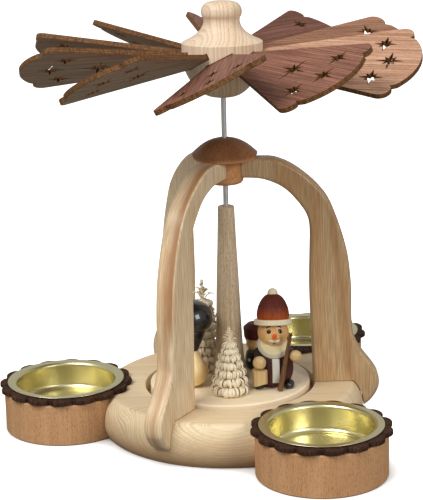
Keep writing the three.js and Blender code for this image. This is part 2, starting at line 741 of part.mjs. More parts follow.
// Round-bodied figure with black hair under a large domed cap
const pearShares = [[0.5, 0], [0.84, 0.13], [1, 0.36], [0.94, 0.62], [0.8, 0.86], [0.62, 1]];
const hairShares = [[1, 0.45], [1, 1]];
const domedCapShares = [[0.74, 0], [0.94, 0.14], [1, 0.34], [0.94, 0.58], [0.76, 0.82], [0.42, 0.97]];

function roundedFigure() {
  const f = rounded;
  const body = turnedShares(pearShares, f.bodyRadius, 0, f.bodyHeight);
  const hairTop = f.bodyHeight + f.hairHeight / 2;
  const hairBottom = hairTop - f.hairHeight;
  const hair = turned([
    [0, hairBottom], [f.hairTipRadius, hairBottom],
    ...hairShares.map(([r, z]) => [r * f.hairRadius, hairBottom + z * f.hairHeight]), [0, hairTop],
  ], segments.small);
  const bodyRoom = turnedShares(pearShares, f.bodyRadius + gap, -gap, f.bodyHeight + 2 * gap);
  const dome = turnedShares(domedCapShares, f.capRadius, hairTop + gap, f.capHeight);
  return [
    piece('round_figure_body', body, woods.natural),
    piece('round_figure_hair', cut(hair, bodyRoom), woods.black),
    piece('round_figure_cap', dome, woods.black),
  ];
}

// Small figure behind the column: dark coat, plain head, drum-shaped hat with a domed top
const smallCoatShares = [[0.86, 0], [1, 0.15], [0.96, 0.6], [0.74, 1]];
const smallHeadShares = [[0.78, 0], [1, 0.4], [0.95, 1]];
const drumShares = [[0.94, 0], [1, 1]];
const drumDomeShares = [[0.6, 0.8], [0, 1]];

function backwardFigure() {
  const f = backward;
  const headBottom = f.coatHeight + gap;
  const hatBottom = headBottom + f.headHeight + gap;
  const drumTop = hatBottom + f.hatHeight;
  const drum = drumShares.map(([r, z]) => [r * f.hatRadius, hatBottom + z * f.hatHeight]);
  const dome = drumDomeShares.map(([r, z]) => [r * f.hatRadius, drumTop + z * f.domeHeight]);
  const hat = turned([[0, hatBottom], ...drum, ...dome], segments.small);
  const head = turnedShares(smallHeadShares, f.headRadius, headBottom, f.headHeight);
  return [
    piece('small_figure_coat', turnedShares(smallCoatShares, f.coatRadius, 0, f.coatHeight), woods.black),
    piece('small_figure_head', head, woods.natural),
    piece('small_figure_hat', hat, woods.maroon),
  ];
}

const object = new THREE.Group();
const stand = new THREE.Group();
const carousel = new THREE.Group();
object.add(stand, carousel);

stand.add(
  piece('base_disc', baseDisc(), woods.baseAsh),
  piece('pivot_cup', pivotCup(), metals.brass),
  piece('crown_hub', crownHub(), woods.crownBeech),
  piece('crown_bush', crownBush(), metals.brass),
  piece('crown_cap', crownCap(), woods.capBrown),
);

legBearings.forEach((degrees, i) => {
  const group = new THREE.Group();
  group.rotation.z = THREE.MathUtils.degToRad(degrees);
  group.add(
    piece(`leg_${i + 1}`, leg(), woods.legAsh), piece(`leg_dowel_${i + 1}`, legDowel(), woods.dowel));
  stand.add(group);
});

holderBearings.forEach((degrees, i) => {
  const group = new THREE.Group();
  group.rotation.z = THREE.MathUtils.degToRad(degrees);
  const seat = new THREE.Group();
  seat.position.x = holderDistance;
  seat.add(
    piece(`holder_${i + 1}`, holder(), woods.beech),
    piece(`holder_ring_${i + 1}`, scallopedRing(), woods.walnut),
    piece(`tealight_cup_${i + 1}`, cup(), metals.gold),
  );
  group.add(seat, piece(`holder_dowel_${i + 1}`, holderDowel(), woods.dowel));
  stand.add(group);
});

carousel.add(
  piece('spindle', spindle(), metals.steel),
  piece('turntable', turntable(), woods.turntableMaple),
  piece('column', column(), woods.columnBrown),
  piece('rotor_hub', rotorHub(), woods.rotorMaple),
);

bearings(bladeCount, bladeStartAngle).forEach((degrees, i) => {
  const mesh = piece(`blade_${String(i + 1).padStart(2, '0')}`, blade(), woods.bladePly);
  mesh.applyMatrix4(bladeMatrix(degrees));
  carousel.add(mesh);
});

const standing = turntableTop + gap;
carousel.add(
  stationed([
    ...beardedHead(), ...beardedLimbs('left', 1), ...beardedLimbs('right', -1), ...beardedLuggage(),
  ], bearded, standing),
  stationed(roundedFigure(), rounded, standing),
  stationed(backwardFigure(), backward, standing),
  stationed([piece('front_tree', curledTree(frontTree), woods.shavings)], frontTree, standing),
  stationed([piece('tall_tree', curledTree(tallTree), woods.shavings)], tallTree, standing),
);

export default object;
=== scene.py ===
"""Candle carousel: every turned, sawn, painted and pressed piece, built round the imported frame.

Sizes are millimetres. A piece is shaped in millimetres at its own bench place, where its grain is
marked, and then set into the frame, in metres.
"""
import logging
import math
import random
from dataclasses import dataclass, field, replace
from enum import Enum
from typing import Optional, Sequence

import bpy
import numpy as np
from mathutils import Matrix, Vector


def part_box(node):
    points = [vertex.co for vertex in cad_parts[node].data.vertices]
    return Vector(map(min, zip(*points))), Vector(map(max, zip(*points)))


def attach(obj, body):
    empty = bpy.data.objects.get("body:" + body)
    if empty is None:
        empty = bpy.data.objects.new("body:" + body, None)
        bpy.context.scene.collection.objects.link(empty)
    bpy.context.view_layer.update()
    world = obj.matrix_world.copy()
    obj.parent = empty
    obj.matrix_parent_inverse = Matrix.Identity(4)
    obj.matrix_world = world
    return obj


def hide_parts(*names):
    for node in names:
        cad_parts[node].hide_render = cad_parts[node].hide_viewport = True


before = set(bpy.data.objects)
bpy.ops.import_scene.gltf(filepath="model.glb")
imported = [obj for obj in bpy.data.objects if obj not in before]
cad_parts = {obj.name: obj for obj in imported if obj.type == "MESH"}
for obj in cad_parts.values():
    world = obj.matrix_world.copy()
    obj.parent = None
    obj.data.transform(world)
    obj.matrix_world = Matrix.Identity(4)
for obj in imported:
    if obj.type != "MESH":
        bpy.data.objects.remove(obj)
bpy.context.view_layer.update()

LOG = logging.getLogger("candle_carousel")
MM = 0.001
FIT = 0.3
OVERRUN = 1.0
DOUBLE = 0.002
HOLE_STEPS = 24
NARROW_SHARE = 0.6
EDGE_PLACE = 90.0
GRAIN = "grain"

Point = tuple[float, float]
Place = tuple[float, float, float]
Colour = tuple[float, float, float, float]
Object = bpy.types.Object
Socket = bpy.types.NodeSocket

ROUND: Place = (1.0, 1.0, 1.0)
FLAT: Place = (0.6, 1.0, 1.0)
SIDES: tuple[tuple[str, int], ...] = (("left", 1), ("right", -1))


class Body(Enum):
    """The two bodies of the carousel."""

    STAND = "stand"
    CAROUSEL = "carousel"


class Way(Enum):
    """Which way the grain of a piece runs on its bench: along its length or upright."""

    ALONG_X = "x"
    UPRIGHT = "z"


def paint(code: str) -> Colour:
    """Turns a colour written as six hexadecimal digits into linear red, green, blue and alpha.

    Args:
        code: Six hexadecimal digits, as a maker notes a shade.

    Returns:
        The same colour in the linear values that the shaders take.
    """
    shares = [int(code[i:i + 2], 16) / 255 for i in (0, 2, 4)]
    linear = [s / 12.92 if s <= 0.04045 else ((s + 0.055) / 1.055) ** 2.4 for s in shares]
    return (linear[0], linear[1], linear[2], 1.0)


# Node sheets and finishes
class NodeSheet:
    """A material's node tree, with short ways to add nodes and join them."""

    def __init__(self, name: str) -> None:
        """Starts a material with an empty tree.

        Args:
            name: The material's name.
        """
        self.material = bpy.data.materials.new(name)
        self.material.use_nodes = True
        self.tree = self.material.node_tree
        self.tree.nodes.clear()

    def add(self, kind: str, inputs: Optional[dict] = None, **settings: object) -> bpy.types.Node:
        """Adds a node.

        Args:
            kind: The node's type without its ShaderNode prefix.
            inputs: Values or sockets for inputs, by name or index.
            settings: Properties of the node itself.

        Returns:
            The new node.
        """
        node = self.tree.nodes.new("ShaderNode" + kind)
        for key, value in settings.items():
            setattr(node, key, value)
        for key, value in (inputs or {}).items():
            if isinstance(value, Socket):
                self.tree.links.new(value, node.inputs[key])
            else:
                node.inputs[key].default_value = value
        return node

    def sum(self, kind: str, a: object, b: object = 0.0) -> Socket:
        """Works out one number from two, with a Math node."""
        return self.add("Math", {0: a, 1: b}, operation=kind).outputs[0]

    def plus(self, a: object, b: object) -> Socket:
        """Adds two numbers."""
        return self.sum("ADD", a, b)

    def minus(self, a: object, b: object) -> Socket:
        """Takes the second number from the first."""
        return self.sum("SUBTRACT", a, b)

    def times(self, a: object, b: object) -> Socket:
        """Multiplies two numbers."""
        return self.sum("MULTIPLY", a, b)

    def bell(self, square: object) -> Socket:
        """A smooth hill over a squared distance, one at its middle."""
        return self.sum("POWER", math.e, self.times(square, -1.0))

    def vector(self, kind: str, a: object, b: object = (0, 0, 0)) -> Socket:
        """Works out one vector from two, with a Vector Math node."""
        return self.add("VectorMath", {0: a, 1: b}, operation=kind).outputs[0]

    def blend(self, share: object, a: object, b: object, kind: str = "MIX") -> Socket:
        """Mixes two colours by a share.

        Args:
            share: How much of the second colour there is, from 0 to 1.
            a: The first colour.
            b: The second colour.
            kind: The way of mixing.

        Returns:
            The mixed colour.
        """
        node = self.add("Mix", data_type="RGBA", blend_type=kind, clamp_factor=True)
        for index, value in ((0, share), (6, a), (7, b)):
            if isinstance(value, Socket):
                self.tree.links.new(value, node.inputs[index])
            else:
                node.inputs[index].default_value = value
        return node.outputs[2]

    def noise(self, place: Socket, stretch: Sequence[float], detail: float = 2.0) -> Socket:
        """Cloudy values along a place that is stretched first.

        Args:
            place: The vector to read.
            stretch: How many clouds there are per millimetre, along each axis.
            detail: How many finer layers there are.

        Returns:
            A number about 0.5.
        """
        where = self.vector("MULTIPLY", place, tuple(stretch))
        node = self.add("TexNoise", {"Vector": where, "Scale": 1.0, "Detail": detail})
        return node.outputs[0]

    def slope(self, value: object, low: float, high: float, start: float = 0.0, end: float = 1.0) -> Socket:
        """Maps a number from one span to another and keeps it inside.

        Args:
            value: The number.
            low: Where the first span starts.
            high: Where the first span ends.
            start: What the low end becomes.
            end: What the high end becomes.

        Returns:
            The mapped number.
        """
        inputs = {"Value": value, 1: low, 2: high, 3: start, 4: end}
        return self.add("MapRange", inputs, clamp=True).outputs[0]

    def grain(self) -> Socket:
        """The place in the piece's own board, in millimetres, with X along the grain."""
        return self.add("Attribute", attribute_name=GRAIN).outputs["Vector"]

    def length(self, place: Socket) -> Socket:
        """How long a vector is."""
        return self.add("VectorMath", {0: place}, operation="LENGTH").outputs["Value"]

    def split(self, place: Socket) -> tuple[Socket, Socket, Socket]:
        """The three parts of a vector."""
        node = self.add("SeparateXYZ", {0: place})
        return node.outputs[0], node.outputs[1], node.outputs[2]

    def close(self, inputs: dict, bump: Optional[Socket] = None, height: float = 0.1) -> bpy.types.Material:
        """Ends the tree in a principled shader.

        Args:
            inputs: Values or sockets for the shader.
            bump: Relief as a number, if the surface has any.
            height: How high that relief is, in millimetres.

        Returns:
            The finished material.
        """
        shader = self.add("BsdfPrincipled", inputs)
        if bump is not None:
            relief = self.add("Bump", {"Strength": 1.0, "Distance": height * MM, "Height": bump})
            self.tree.links.new(relief.outputs[0], shader.inputs["Normal"])
        output = self.add("OutputMaterial")
        self.tree.links.new(shader.outputs[0], output.inputs[0])
        return self.material


@dataclass(frozen=True)
class Finish:
    """What every finish has: a name, the record's slot and a way to make its material."""

    name: str
    slot: str

    def material(self) -> bpy.types.Material:
        """Gives the finish's material and makes it at its first use."""
        known = bpy.data.materials.get(self.name)
        return known or self.mixed()

    def mixed(self) -> bpy.types.Material:
        """Makes the material."""
        raise NotImplementedError


@dataclass(frozen=True)
class Wood(Finish):
    """A bare or lacquered wood with year rings round a pith line, fibres and flecks."""

    pale: str = "e6d2ae"
    late: str = "cfae80"
    tint: str = "dcb892"
    ring: float = 3.0
    pith: Point = (0.0, -30.0)
    wave: float = 3.0
    drift: float = 0.05
    rings_show: float = 0.6
    fibre: float = 0.35
    fibre_pitch: float = 2.4
    fibre_run: float = 0.014
    # Dark stripes along the grain, some in the wood's own darker tone and some as painted shade along a
    # rounded edge.
    streaks_and_painted_shade: tuple[tuple[float, ...], ...] = ()
    streak_and_shade_colour: str = "a8754a"
    streak_and_shade_fade: float = 14.0
    fleck: float = 0.0
    fleck_dark: str = "6b4327"
    patch: float = 0.5
    eyes: tuple[tuple[float, ...], ...] = ()
    eye_shares: Place = (0.9, 1.0, 1.1)
    # Painted light near the foot: between two heights the colour blends to a foot colour. Where it darkens
    # this is painted shade, and where the foot colour is lighter it is a painted highlight.
    painted_light_at_foot: tuple[float, ...] = ()
    foot: str = ""
    roughness: float = 0.5
    coat: float = 0.05
    coat_blur: float = 0.25
    shine: float = 0.35
    relief: float = 0.05
    cloud_pitch: Place = (0.012, 0.045, 0.045)
    show_pitch: Place = (0.01, 0.08, 0.08)
    show_span: tuple[float, ...] = (0.3, 0.7, 0.45, 1.0)
    patch_pitch: Place = (0.012, 0.09, 0.09)
    patch_span: Point = (0.4, 0.62)
    thread_span: Point = (0.42, 0.7)
    light_span: Point = (0.46, 0.28)
    light_share: float = 0.35
    fleck_pitch: Place = (0.75, 4.4, 4.4)
    fleck_span: Point = (0.57, 0.65)
    uneven_pitch: float = 0.45
    uneven_years: float = 2.4
    year_ramp: tuple[Point, ...] = (
        (0.0, 0.0), (0.35, 0.12), (0.72, 0.45), (0.88, 1.0), (0.97, 0.55), (1.0, 0.0))

    def years(self, sheet: NodeSheet, grain: Socket) -> Socket:
        """Draws the year rings, which bend with the cloud and rise over each eye.

        Args:
            sheet: The node sheet to add to.
            grain: The place in the board.

        Returns:
            How much late wood there is, from 0 to 1.
        """
        cloud = sheet.add("TexNoise", {
            "Vector": sheet.vector("MULTIPLY", grain, self.cloud_pitch), "Scale": 1.0, "Detail": 2.0})
        sway = sheet.vector("SUBTRACT", cloud.outputs["Color"], (0.5, 0.5, 0.5))
        bent = sheet.vector("MULTIPLY", sway, (0.0, 2 * self.wave, 2 * self.wave))
        across = sheet.vector("MULTIPLY", grain, (self.drift, 1.0, 1.0))
        place = sheet.vector("SUBTRACT", across, (0.0, *self.pith))
        years = sheet.length(sheet.vector("ADD", place, bent))
        for x, y, z, wide, lift in self.eyes:
            near = sheet.vector("SUBTRACT", sheet.vector("ADD", grain, bent), (x, y, z))
            stretch = tuple(share / wide for share in self.eye_shares)
            near = sheet.length(sheet.vector("MULTIPLY", near, stretch))
            years = sheet.plus(years, sheet.times(sheet.bell(sheet.times(near, near)), lift))
        count = sheet.sum("DIVIDE", years, self.ring)
        uneven = sheet.add(
            "TexNoise", {"W": count, "Scale": self.uneven_pitch, "Detail": 1.0}, noise_dimensions="1D")
        count = sheet.plus(count, sheet.times(uneven.outputs[0], self.uneven_years))
        late = sheet.add("ValToRGB", {0: sheet.sum("FRACT", count)})
        ramp = late.color_ramp
        ramp.interpolation = "B_SPLINE"
        for position, _ in self.year_ramp[1:-1]:
            ramp.elements.new(position)
        for stop, (_, grey) in zip(ramp.elements, self.year_ramp):
            stop.color = (grey, grey, grey, 1.0)
        return late.outputs[0]

    def laid_streaks_and_shade(self, sheet: NodeSheet, grain: Socket, colour: Socket) -> Socket:
        """Lays dark stripes over the wood, some in the wood's own darker tone and some as painted shade along
        a rounded edge.

        Args:
            sheet: The node sheet to add to.
            grain: The place in the board.
            colour: The colour without them.

        Returns:
            The colour with them.
        """
        along, across, deep = sheet.split(grain)
        for low, high, x_low, x_high, x_wide, y, y_wide, most in self.streaks_and_painted_shade:
            x_off = sheet.minus(across, sheet.slope(along, low, high, x_low, x_high))
            x_off = sheet.sum("DIVIDE", x_off, x_wide)
            y_off = sheet.sum("DIVIDE", sheet.minus(deep, y), y_wide)
            band = sheet.bell(sheet.plus(sheet.times(x_off, x_off), sheet.times(y_off, y_off)))
            start = sheet.slope(along, low, low + self.streak_and_shade_fade)
            end = sheet.slope(along, high, high - self.streak_and_shade_fade)
            shown = sheet.times(sheet.times(band, sheet.times(start, end)), most)
            colour = sheet.blend(shown, colour, paint(self.streak_and_shade_colour))
        return colour

    def colour(self, sheet: NodeSheet) -> tuple[Socket, Socket]:
        """Works out the colour of the wood.

        Args:
            sheet: The node sheet to add to.

        Returns:
            The colour and the relief of the fibres.
        """
        grain = sheet.grain()
        strength = sheet.noise(grain, self.show_pitch)
        shown = sheet.times(self.years(sheet, grain), sheet.slope(strength, *self.show_span))
        colour = sheet.blend(sheet.times(shown, self.rings_show), paint(self.pale), paint(self.late))
        patch = sheet.slope(sheet.noise(grain, self.patch_pitch), *self.patch_span)
        colour = sheet.blend(sheet.times(patch, self.patch), colour, paint(self.tint))
        pitch = self.fibre_pitch
        fibres = sheet.noise(grain, (pitch * self.fibre_run, pitch, pitch))
        threads = sheet.slope(fibres, *self.thread_span)
        colour = sheet.blend(sheet.times(threads, self.fibre), colour, paint(self.late))
        light = sheet.slope(fibres, *self.light_span, 0.0, self.light_share * self.fibre)
        colour = sheet.blend(light, colour, (1.0, 1.0, 1.0, 1.0), "OVERLAY")
        colour = self.laid_streaks_and_shade(sheet, grain, colour)
        # Painted light near the foot: shade painted darker towards the bottom, or a highlight painted in a
        # lighter foot colour.
        if self.painted_light_at_foot:
            bottom, top, most = self.painted_light_at_foot
            height = sheet.split(sheet.add("TexCoord").outputs["Object"])[2]
            low = sheet.slope(height, bottom * MM, top * MM, most, 0.0)
            foot = paint(self.foot) if self.foot else sheet.blend(1.0, colour, paint(self.late), "MULTIPLY")
            colour = sheet.blend(low, colour, foot)
        if self.fleck > 0:
            dashes = sheet.slope(sheet.noise(grain, self.fleck_pitch, 1.0), *self.fleck_span)
            colour = sheet.blend(sheet.times(dashes, self.fleck), colour, paint(self.fleck_dark))
        return colour, fibres

    def mixed(self) -> bpy.types.Material:
        """Makes the material."""
        sheet = NodeSheet(self.name)
        colour, fibres = self.colour(sheet)
        return sheet.close({
            "Base Color": colour, "Roughness": self.roughness, "Coat Weight": self.coat,
            "Coat Roughness": self.coat_blur, "Specular IOR Level": self.shine}, fibres, self.relief)


@dataclass(frozen=True)
class Veneer(Wood):
    """Thin plywood: stained face veneers and a sawn edge whose glue lines show."""

    under: str = "a4917f"
    edge: str = "77502f"
    core: str = "54371f"
    glue: str = "a97f46"
    half: float = 1.0
    under_span: tuple[float, ...] = (0.35, 0.65, 0.6, 1.3)
    rough_pitch: Place = (1.3, 1.3, 0.7)
    rough_span: Point = (0.4, 0.6)
    glue_share: float = 0.36
    glue_span: Point = (0.02, 0.09)
    glue_fade: tuple[float, ...] = (0.65, 0.35, 0.3, 0.8)
    skin_shares: Point = (0.955, 0.985)

    def mixed(self) -> bpy.types.Material:
        """Makes the material."""
        sheet = NodeSheet(self.name)
        face, fibres = self.colour(sheet)
        grain = sheet.grain()
        _, _, depth = sheet.split(grain)
        below = sheet.sum("LESS_THAN", depth, 0.0)
        streak = sheet.slope(fibres, *self.under_span)
        under = sheet.blend(1.0, paint(self.under), streak, "MULTIPLY")
        face = sheet.blend(below, face, under)
        rough = sheet.noise(grain, self.rough_pitch, 3.0)
        away = sheet.sum("ABSOLUTE", depth)
        line = sheet.slope(
            sheet.sum("ABSOLUTE", sheet.minus(away, self.half * self.glue_share)), *self.glue_span, 1.0, 0.0)
        wall = sheet.blend(sheet.slope(rough, *self.rough_span), paint(self.edge), paint(self.core))
        wall = sheet.blend(sheet.times(line, sheet.slope(rough, *self.glue_fade)), wall, paint(self.glue))
        skin = sheet.slope(away, *(self.half * share for share in self.skin_shares))
        return sheet.close({
            "Base Color": sheet.blend(skin, wall, face), "Roughness": self.roughness,
            "Coat Weight": self.coat, "Specular IOR Level": self.shine}, fibres, self.relief)


@dataclass(frozen=True)
class Lacquer(Finish):
    """A brushed colour on turned wood, which may fade from one end of the piece to the other."""

    shade: str = "4b1420"
    second: str = ""
    fade: Point = (0.0, 1.0)
    cloud: float = 0.0
    fibre: float = 0.25
    roughness: float = 0.35
    shine: float = 0.3
    coat: float = 0.5
    gloss: float = 0.12
    relief: float = 0.03
    cloud_pitch: float = 0.35
    thread_pitch: Place = (0.12, 2.2, 2.2)
    thread_span: Point = (0.3, 0.7)

    def mixed(self) -> bpy.types.Material:
        """Makes the material."""
        sheet = NodeSheet(self.name)
        grain = sheet.grain()
        along, _, _ = sheet.split(grain)
        colour: object = paint(self.shade)
        if self.second:
            clouds = sheet.noise(grain, (self.cloud_pitch,) * 3, 3.0)
            lift = sheet.plus(along, sheet.times(sheet.minus(clouds, 0.5), self.cloud))
            colour = sheet.blend(sheet.slope(lift, *self.fade), paint(self.second), paint(self.shade))
        threads = sheet.noise(grain, self.thread_pitch, 3.0)
        veil = sheet.slope(threads, *self.thread_span, 1.0 - self.fibre, 1.0 + self.fibre)
        colour = sheet.blend(1.0, colour, veil, "MULTIPLY")
        return sheet.close({
            "Base Color": colour, "Roughness": self.roughness, "Coat Weight": self.coat,
            "Coat Roughness": self.gloss, "Specular IOR Level": self.shine}, threads, self.relief)


@dataclass(frozen=True)
class Metal(Finish):
    """Pressed or drawn metal, brushed round or along its length."""

    shade: str = "c9b45a"
    worn: str = "b59c48"
    roughness: float = 0.25
    brushed: Point = (0.05, 3.0)
    relief: float = 0.01
    cloud_pitch: float = 0.06
    cloud_span: tuple[float, ...] = (0.35, 0.65, 0.0, 0.6)
    brush_span: Point = (0.3, 0.7)
    blur_shares: Point = (0.8, 1.2)

    def mixed(self) -> bpy.types.Material:
        """Makes the material."""
        sheet = NodeSheet(self.name)
        along, wide = self.brushed
        brush = sheet.noise(sheet.grain(), (along, wide, wide))
        clouds = sheet.noise(sheet.grain(), (self.cloud_pitch,) * 3)
        colour = sheet.blend(sheet.slope(clouds, *self.cloud_span), paint(self.shade), paint(self.worn))
        rough = sheet.slope(brush, *self.brush_span, *(self.roughness * share for share in self.blur_shares))
        return sheet.close({"Base Color": colour, "Metallic": 1.0, "Roughness": rough}, brush, self.relief)


# Finishes of this carousel
class Finishes:
    """Every finish on the carousel."""

    # The base's rim is painted darker towards its foot: painted shade where the rim turns under, away from
    # the light.
    BASE_ASH = Wood(
        "ash_of_the_base", "base_ash", pale="efdcb6", late="a97d4b", tint="e6c79c", ring=0.85,
        pith=(-66.0, 46.0), wave=1.1, drift=0.02, rings_show=0.75, fibre=0.16, patch=0.4,
        eyes=((-2.0, -52.0, 18.5, 18.0, -7.5), (-40.0, -37.0, 15.0, 9.0, 6.0)), painted_light_at_foot=(1.0, 13.0, 0.7))
    TURNTABLE = Wood(
        "maple_of_the_turntable", "turntable_wood", pale="fae9c8", late="e2c6a0", tint="f5dfbe", ring=5.0,
        pith=(4.0, -30.0), wave=4.0, rings_show=0.35, fibre=0.2, patch=0.45)
    # The two stripes along a leg's narrow face are painted shade, standing in for the shading along its
    # rounded edge.
    LEG_ASH = Wood(
        "ash_of_the_legs", "leg_ash", pale="e9d3af", late="a98259", tint="dcb588", ring=1.6,
        pith=(-26.0, -40.0), wave=4.5, drift=0.045, rings_show=0.3, fibre=0.5, fibre_pitch=2.0,
        fibre_run=0.05, patch=0.7, roughness=0.4, coat=0.15, streaks_and_painted_shade=(
            (515.0, 622.0, EDGE_PLACE, EDGE_PLACE, 3.0, 2.8, 1.7, 0.9),
            (455.0, 560.0, EDGE_PLACE, EDGE_PLACE, 3.0, 0.6, 1.2, 0.5)))
    # Its one stripe is the wood's own darker tone.
    WARM_ASH = replace(
        LEG_ASH, name="warm_ash_of_a_leg", pale="c8aa82", late="8a633e", tint="b78b5b", rings_show=0.28,
        streaks_and_painted_shade=((8.0, 98.0, 50.0, 40.3, 1.9, -5.5, 3.0, 0.6),), streak_and_shade_colour="99612f")
    BEECH = Wood(
        "beech_of_the_holders", "beech", pale="d0a072", late="a3744d", tint="c18e60", ring=5.0,
        pith=(-50.0, 14.0), wave=6.0, rings_show=0.35, fibre=0.25, fleck=0.5, fleck_dark="7a4f2e",
        patch=0.6, roughness=0.6, coat=0.0)
    CROWN_BEECH = Wood(
        "beech_of_the_crown", "crown_beech", pale="cf9460", late="a06c42", tint="c28250", ring=2.4,
        pith=(-14.0, 3.0), rings_show=0.7, fibre=0.45, patch=0.5)
    WALNUT = Wood(
        "walnut_of_the_rings", "walnut", pale="4c3225", late="20130d", tint="3b251a", ring=0.9,
        pith=(-12.0, -20.0), rings_show=0.6, fibre=0.9, fibre_pitch=1.2, patch=0.6, roughness=0.75, coat=0.0,
        shine=0.15, relief=0.3)
    # The cap's lower edge is painted in a lighter foot colour: a painted highlight where the edge catches the
    # light.
    CAP_BROWN = Wood(
        "stained_beech_of_the_cap", "cap_brown", pale="a67048", late="683f26", tint="885635", ring=1.4,
        pith=(-20.0, 6.0), rings_show=0.6, fibre=0.6, patch=0.5, roughness=0.45, coat=0.1, foot="cf9362",
        painted_light_at_foot=(109.2, 110.8, 0.9))
    # The column is painted darker towards its bottom, among the figures: painted shade.
    COLUMN = Wood(
        "beech_of_the_column", "column_wood", pale="dfccad", late="a08362", tint="cfae88", ring=2.6,
        pith=(-18.0, 4.0), rings_show=0.4, fibre=0.4, fleck=0.45, fleck_dark="6d5036", patch=0.5,
        painted_light_at_foot=(18.0, 75.0, 0.5))
    ROTOR_MAPLE = Wood(
        "maple_of_the_rotor", "rotor_maple", pale="ebd6b9", late="976743", tint="dfc09c", ring=1.7,
        pith=(-15.0, -9.0), wave=1.6, drift=0.1, rings_show=0.7, fibre=0.25, patch=0.35)
    BLADE_DARK = Veneer(
        "dark_ply_of_the_blades", "blade_ply", pale="84594a", late="472b20", tint="6d4637", ring=2.6,
        pith=(-40.0, 30.0), wave=3.0, rings_show=0.2, fibre=0.85, fibre_pitch=2.2, fleck=0.35,
        fleck_dark="3a2219", patch=0.6, roughness=0.6, coat=0.0, shine=0.15)
    BLADE_RED = replace(
        BLADE_DARK, name="red_ply_of_the_blades", pale="9b6a56", late="523429", tint="7b5140")
    BLADE_LIGHT = replace(
        BLADE_DARK, name="light_ply_of_the_blades", pale="cda083", late="835b45", tint="b98a6c")
    BLADE_TAN = replace(
        BLADE_DARK, name="tan_ply_of_the_blades", pale="a2775d", late="65463a", tint="91664c")
    SHAVINGS = Wood(
        "curled_shavings", "shavings", pale="fdf2d8", late="e6cda2", tint="f6e6c4", ring=1.6,
        pith=(-6.0, 1.0), rings_show=0.3, fibre=0.3, fibre_pitch=1.6, patch=0.4, roughness=0.6, coat=0.0)
    NATURAL = Wood(
        "lacquered_natural_wood", "natural_wood", pale="e6c489", late="bf8f55", tint="dcae6e", ring=1.4,
        pith=(-9.0, 1.0), rings_show=0.35, fibre=0.25, fibre_pitch=1.6, patch=0.45, roughness=0.4, coat=0.25)
    HEAD = replace(NATURAL, name="lacquered_wood_of_the_head", pale="e4b67a", late="b5834c", tint="d4995c")
    HAND = replace(NATURAL, name="lacquered_wood_of_the_hands", pale="cfb27e", late="a98252", tint="c39c63")
    # The round figure's body gets the natural wood painted lighter, standing in for the light it lacks in the
    # leg's shade: painted light.
    PEAR_WITH_PAINTED_LIGHT = replace(NATURAL, name="natural_wood_of_the_body_with_painted_light", pale="fbe0a2", late="d3a468", tint="ecc285")
    STAFF = Wood(
        "bark_of_the_staff", "staff_wood", pale="8c6339", late="3c2614", tint="6d4a2a", ring=0.8,
        pith=(-3.0, 0.4), rings_show=0.8, fibre=0.7, fibre_pitch=2.0, patch=0.7, roughness=0.6, relief=0.2)
    DOWEL = Wood("birch_of_the_dowels", "dowel_wood", pale="d6b98b", late="a98557", ring=1.2)
    CREAM = Lacquer("cream_lacquer", "cream_paint", shade="e3d4b3", fibre=0.1, roughness=0.5, coat=0.1)
    BEARD = Lacquer(
        "white_beard_paint", "cream_paint", shade="d3c499", second="b9b29d", fade=(3.2, 3.5), fibre=0.1,
        roughness=0.5, coat=0.1)
    WHITE = Lacquer("white_paint", "cream_paint", shade="c8c5bb", fibre=0.08, roughness=0.5, coat=0.1)
    MAROON = Lacquer(
        "maroon_stain", "maroon_paint", shade="2b1712", second="481917", fade=(2.0, 14.0), cloud=2.0,
        fibre=0.4, roughness=0.5, coat=0.05)
    DRUM_RED = replace(MAROON, name="red_brown_stain", shade="55201f", second="")
    HAT_RED = Lacquer(
        "faded_red_stain", "red_paint", shade="5a2418", second="a84e20", fade=(26.6, 32.0), cloud=1.5,
        fibre=0.3, roughness=0.55, shine=0.2, coat=0.0)
    BLACK = Lacquer(
        "glossy_black_paint", "black_gloss", shade="0a0a0c", fibre=0.1, roughness=0.4, coat=0.9, gloss=0.04,
        relief=0.0)
    NOSE = Lacquer("orange_red_paint", "red_paint", shade="e0601f", fibre=0.1, roughness=0.4, coat=0.2)
    GOLD = Metal(
        "gold_anodised_sheet", "gold_metal", shade="ded6a8", worn="d6cc9a", roughness=0.27,
        brushed=(0.02, 0.03), relief=0.0)
    STEEL = Metal("drawn_steel", "steel", shade="f2f2ee", worn="dededa", roughness=0.4, brushed=(3.0, 0.4))
    BRASS = Metal("turned_brass", "brass", shade="c79a45", worn="a67c33", roughness=0.3)


# Bench work: shapes by hand, in millimetres
@dataclass(frozen=True)
class Span:
    """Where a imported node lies, in millimetres."""

    low: Vector
    high: Vector

    @property
    def out(self) -> float:
        """How far out along X the middle lies."""
        return (self.low.x + self.high.x) / 2

    @property
    def level(self) -> float:
        """The height of the middle."""
        return (self.low.z + self.high.z) / 2

    @property
    def bottom(self) -> float:
        """The lowest height."""
        return self.low.z

    @property
    def top(self) -> float:
        """The highest height."""
        return self.high.z

    @property
    def height(self) -> float:
        """From the lowest to the highest height."""
        return self.high.z - self.low.z

    @property
    def radius(self) -> float:
        """Half the larger width across."""
        return max(self.high.x - self.low.x, self.high.y - self.low.y) / 2


def span(node: str) -> Span:
    """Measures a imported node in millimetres."""
    low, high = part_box(node)
    return Span(Vector(low) / MM, Vector(high) / MM)


def deselect() -> None:
    """Deselects every object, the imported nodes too."""
    bpy.ops.object.select_all(action="DESELECT")


def take(piece: Object) -> Object:
    """Makes a piece the only one selected and the active one.

    Args:
        piece: The piece to work on.

    Returns:
        The same piece.
    """
    deselect()
    piece.select_set(True)
    bpy.context.view_layer.objects.active = piece
    return piece


def named(piece: Object, name: str) -> Object:
    """Names a piece and its mesh alike."""
    piece.name = piece.data.name = name
    return piece


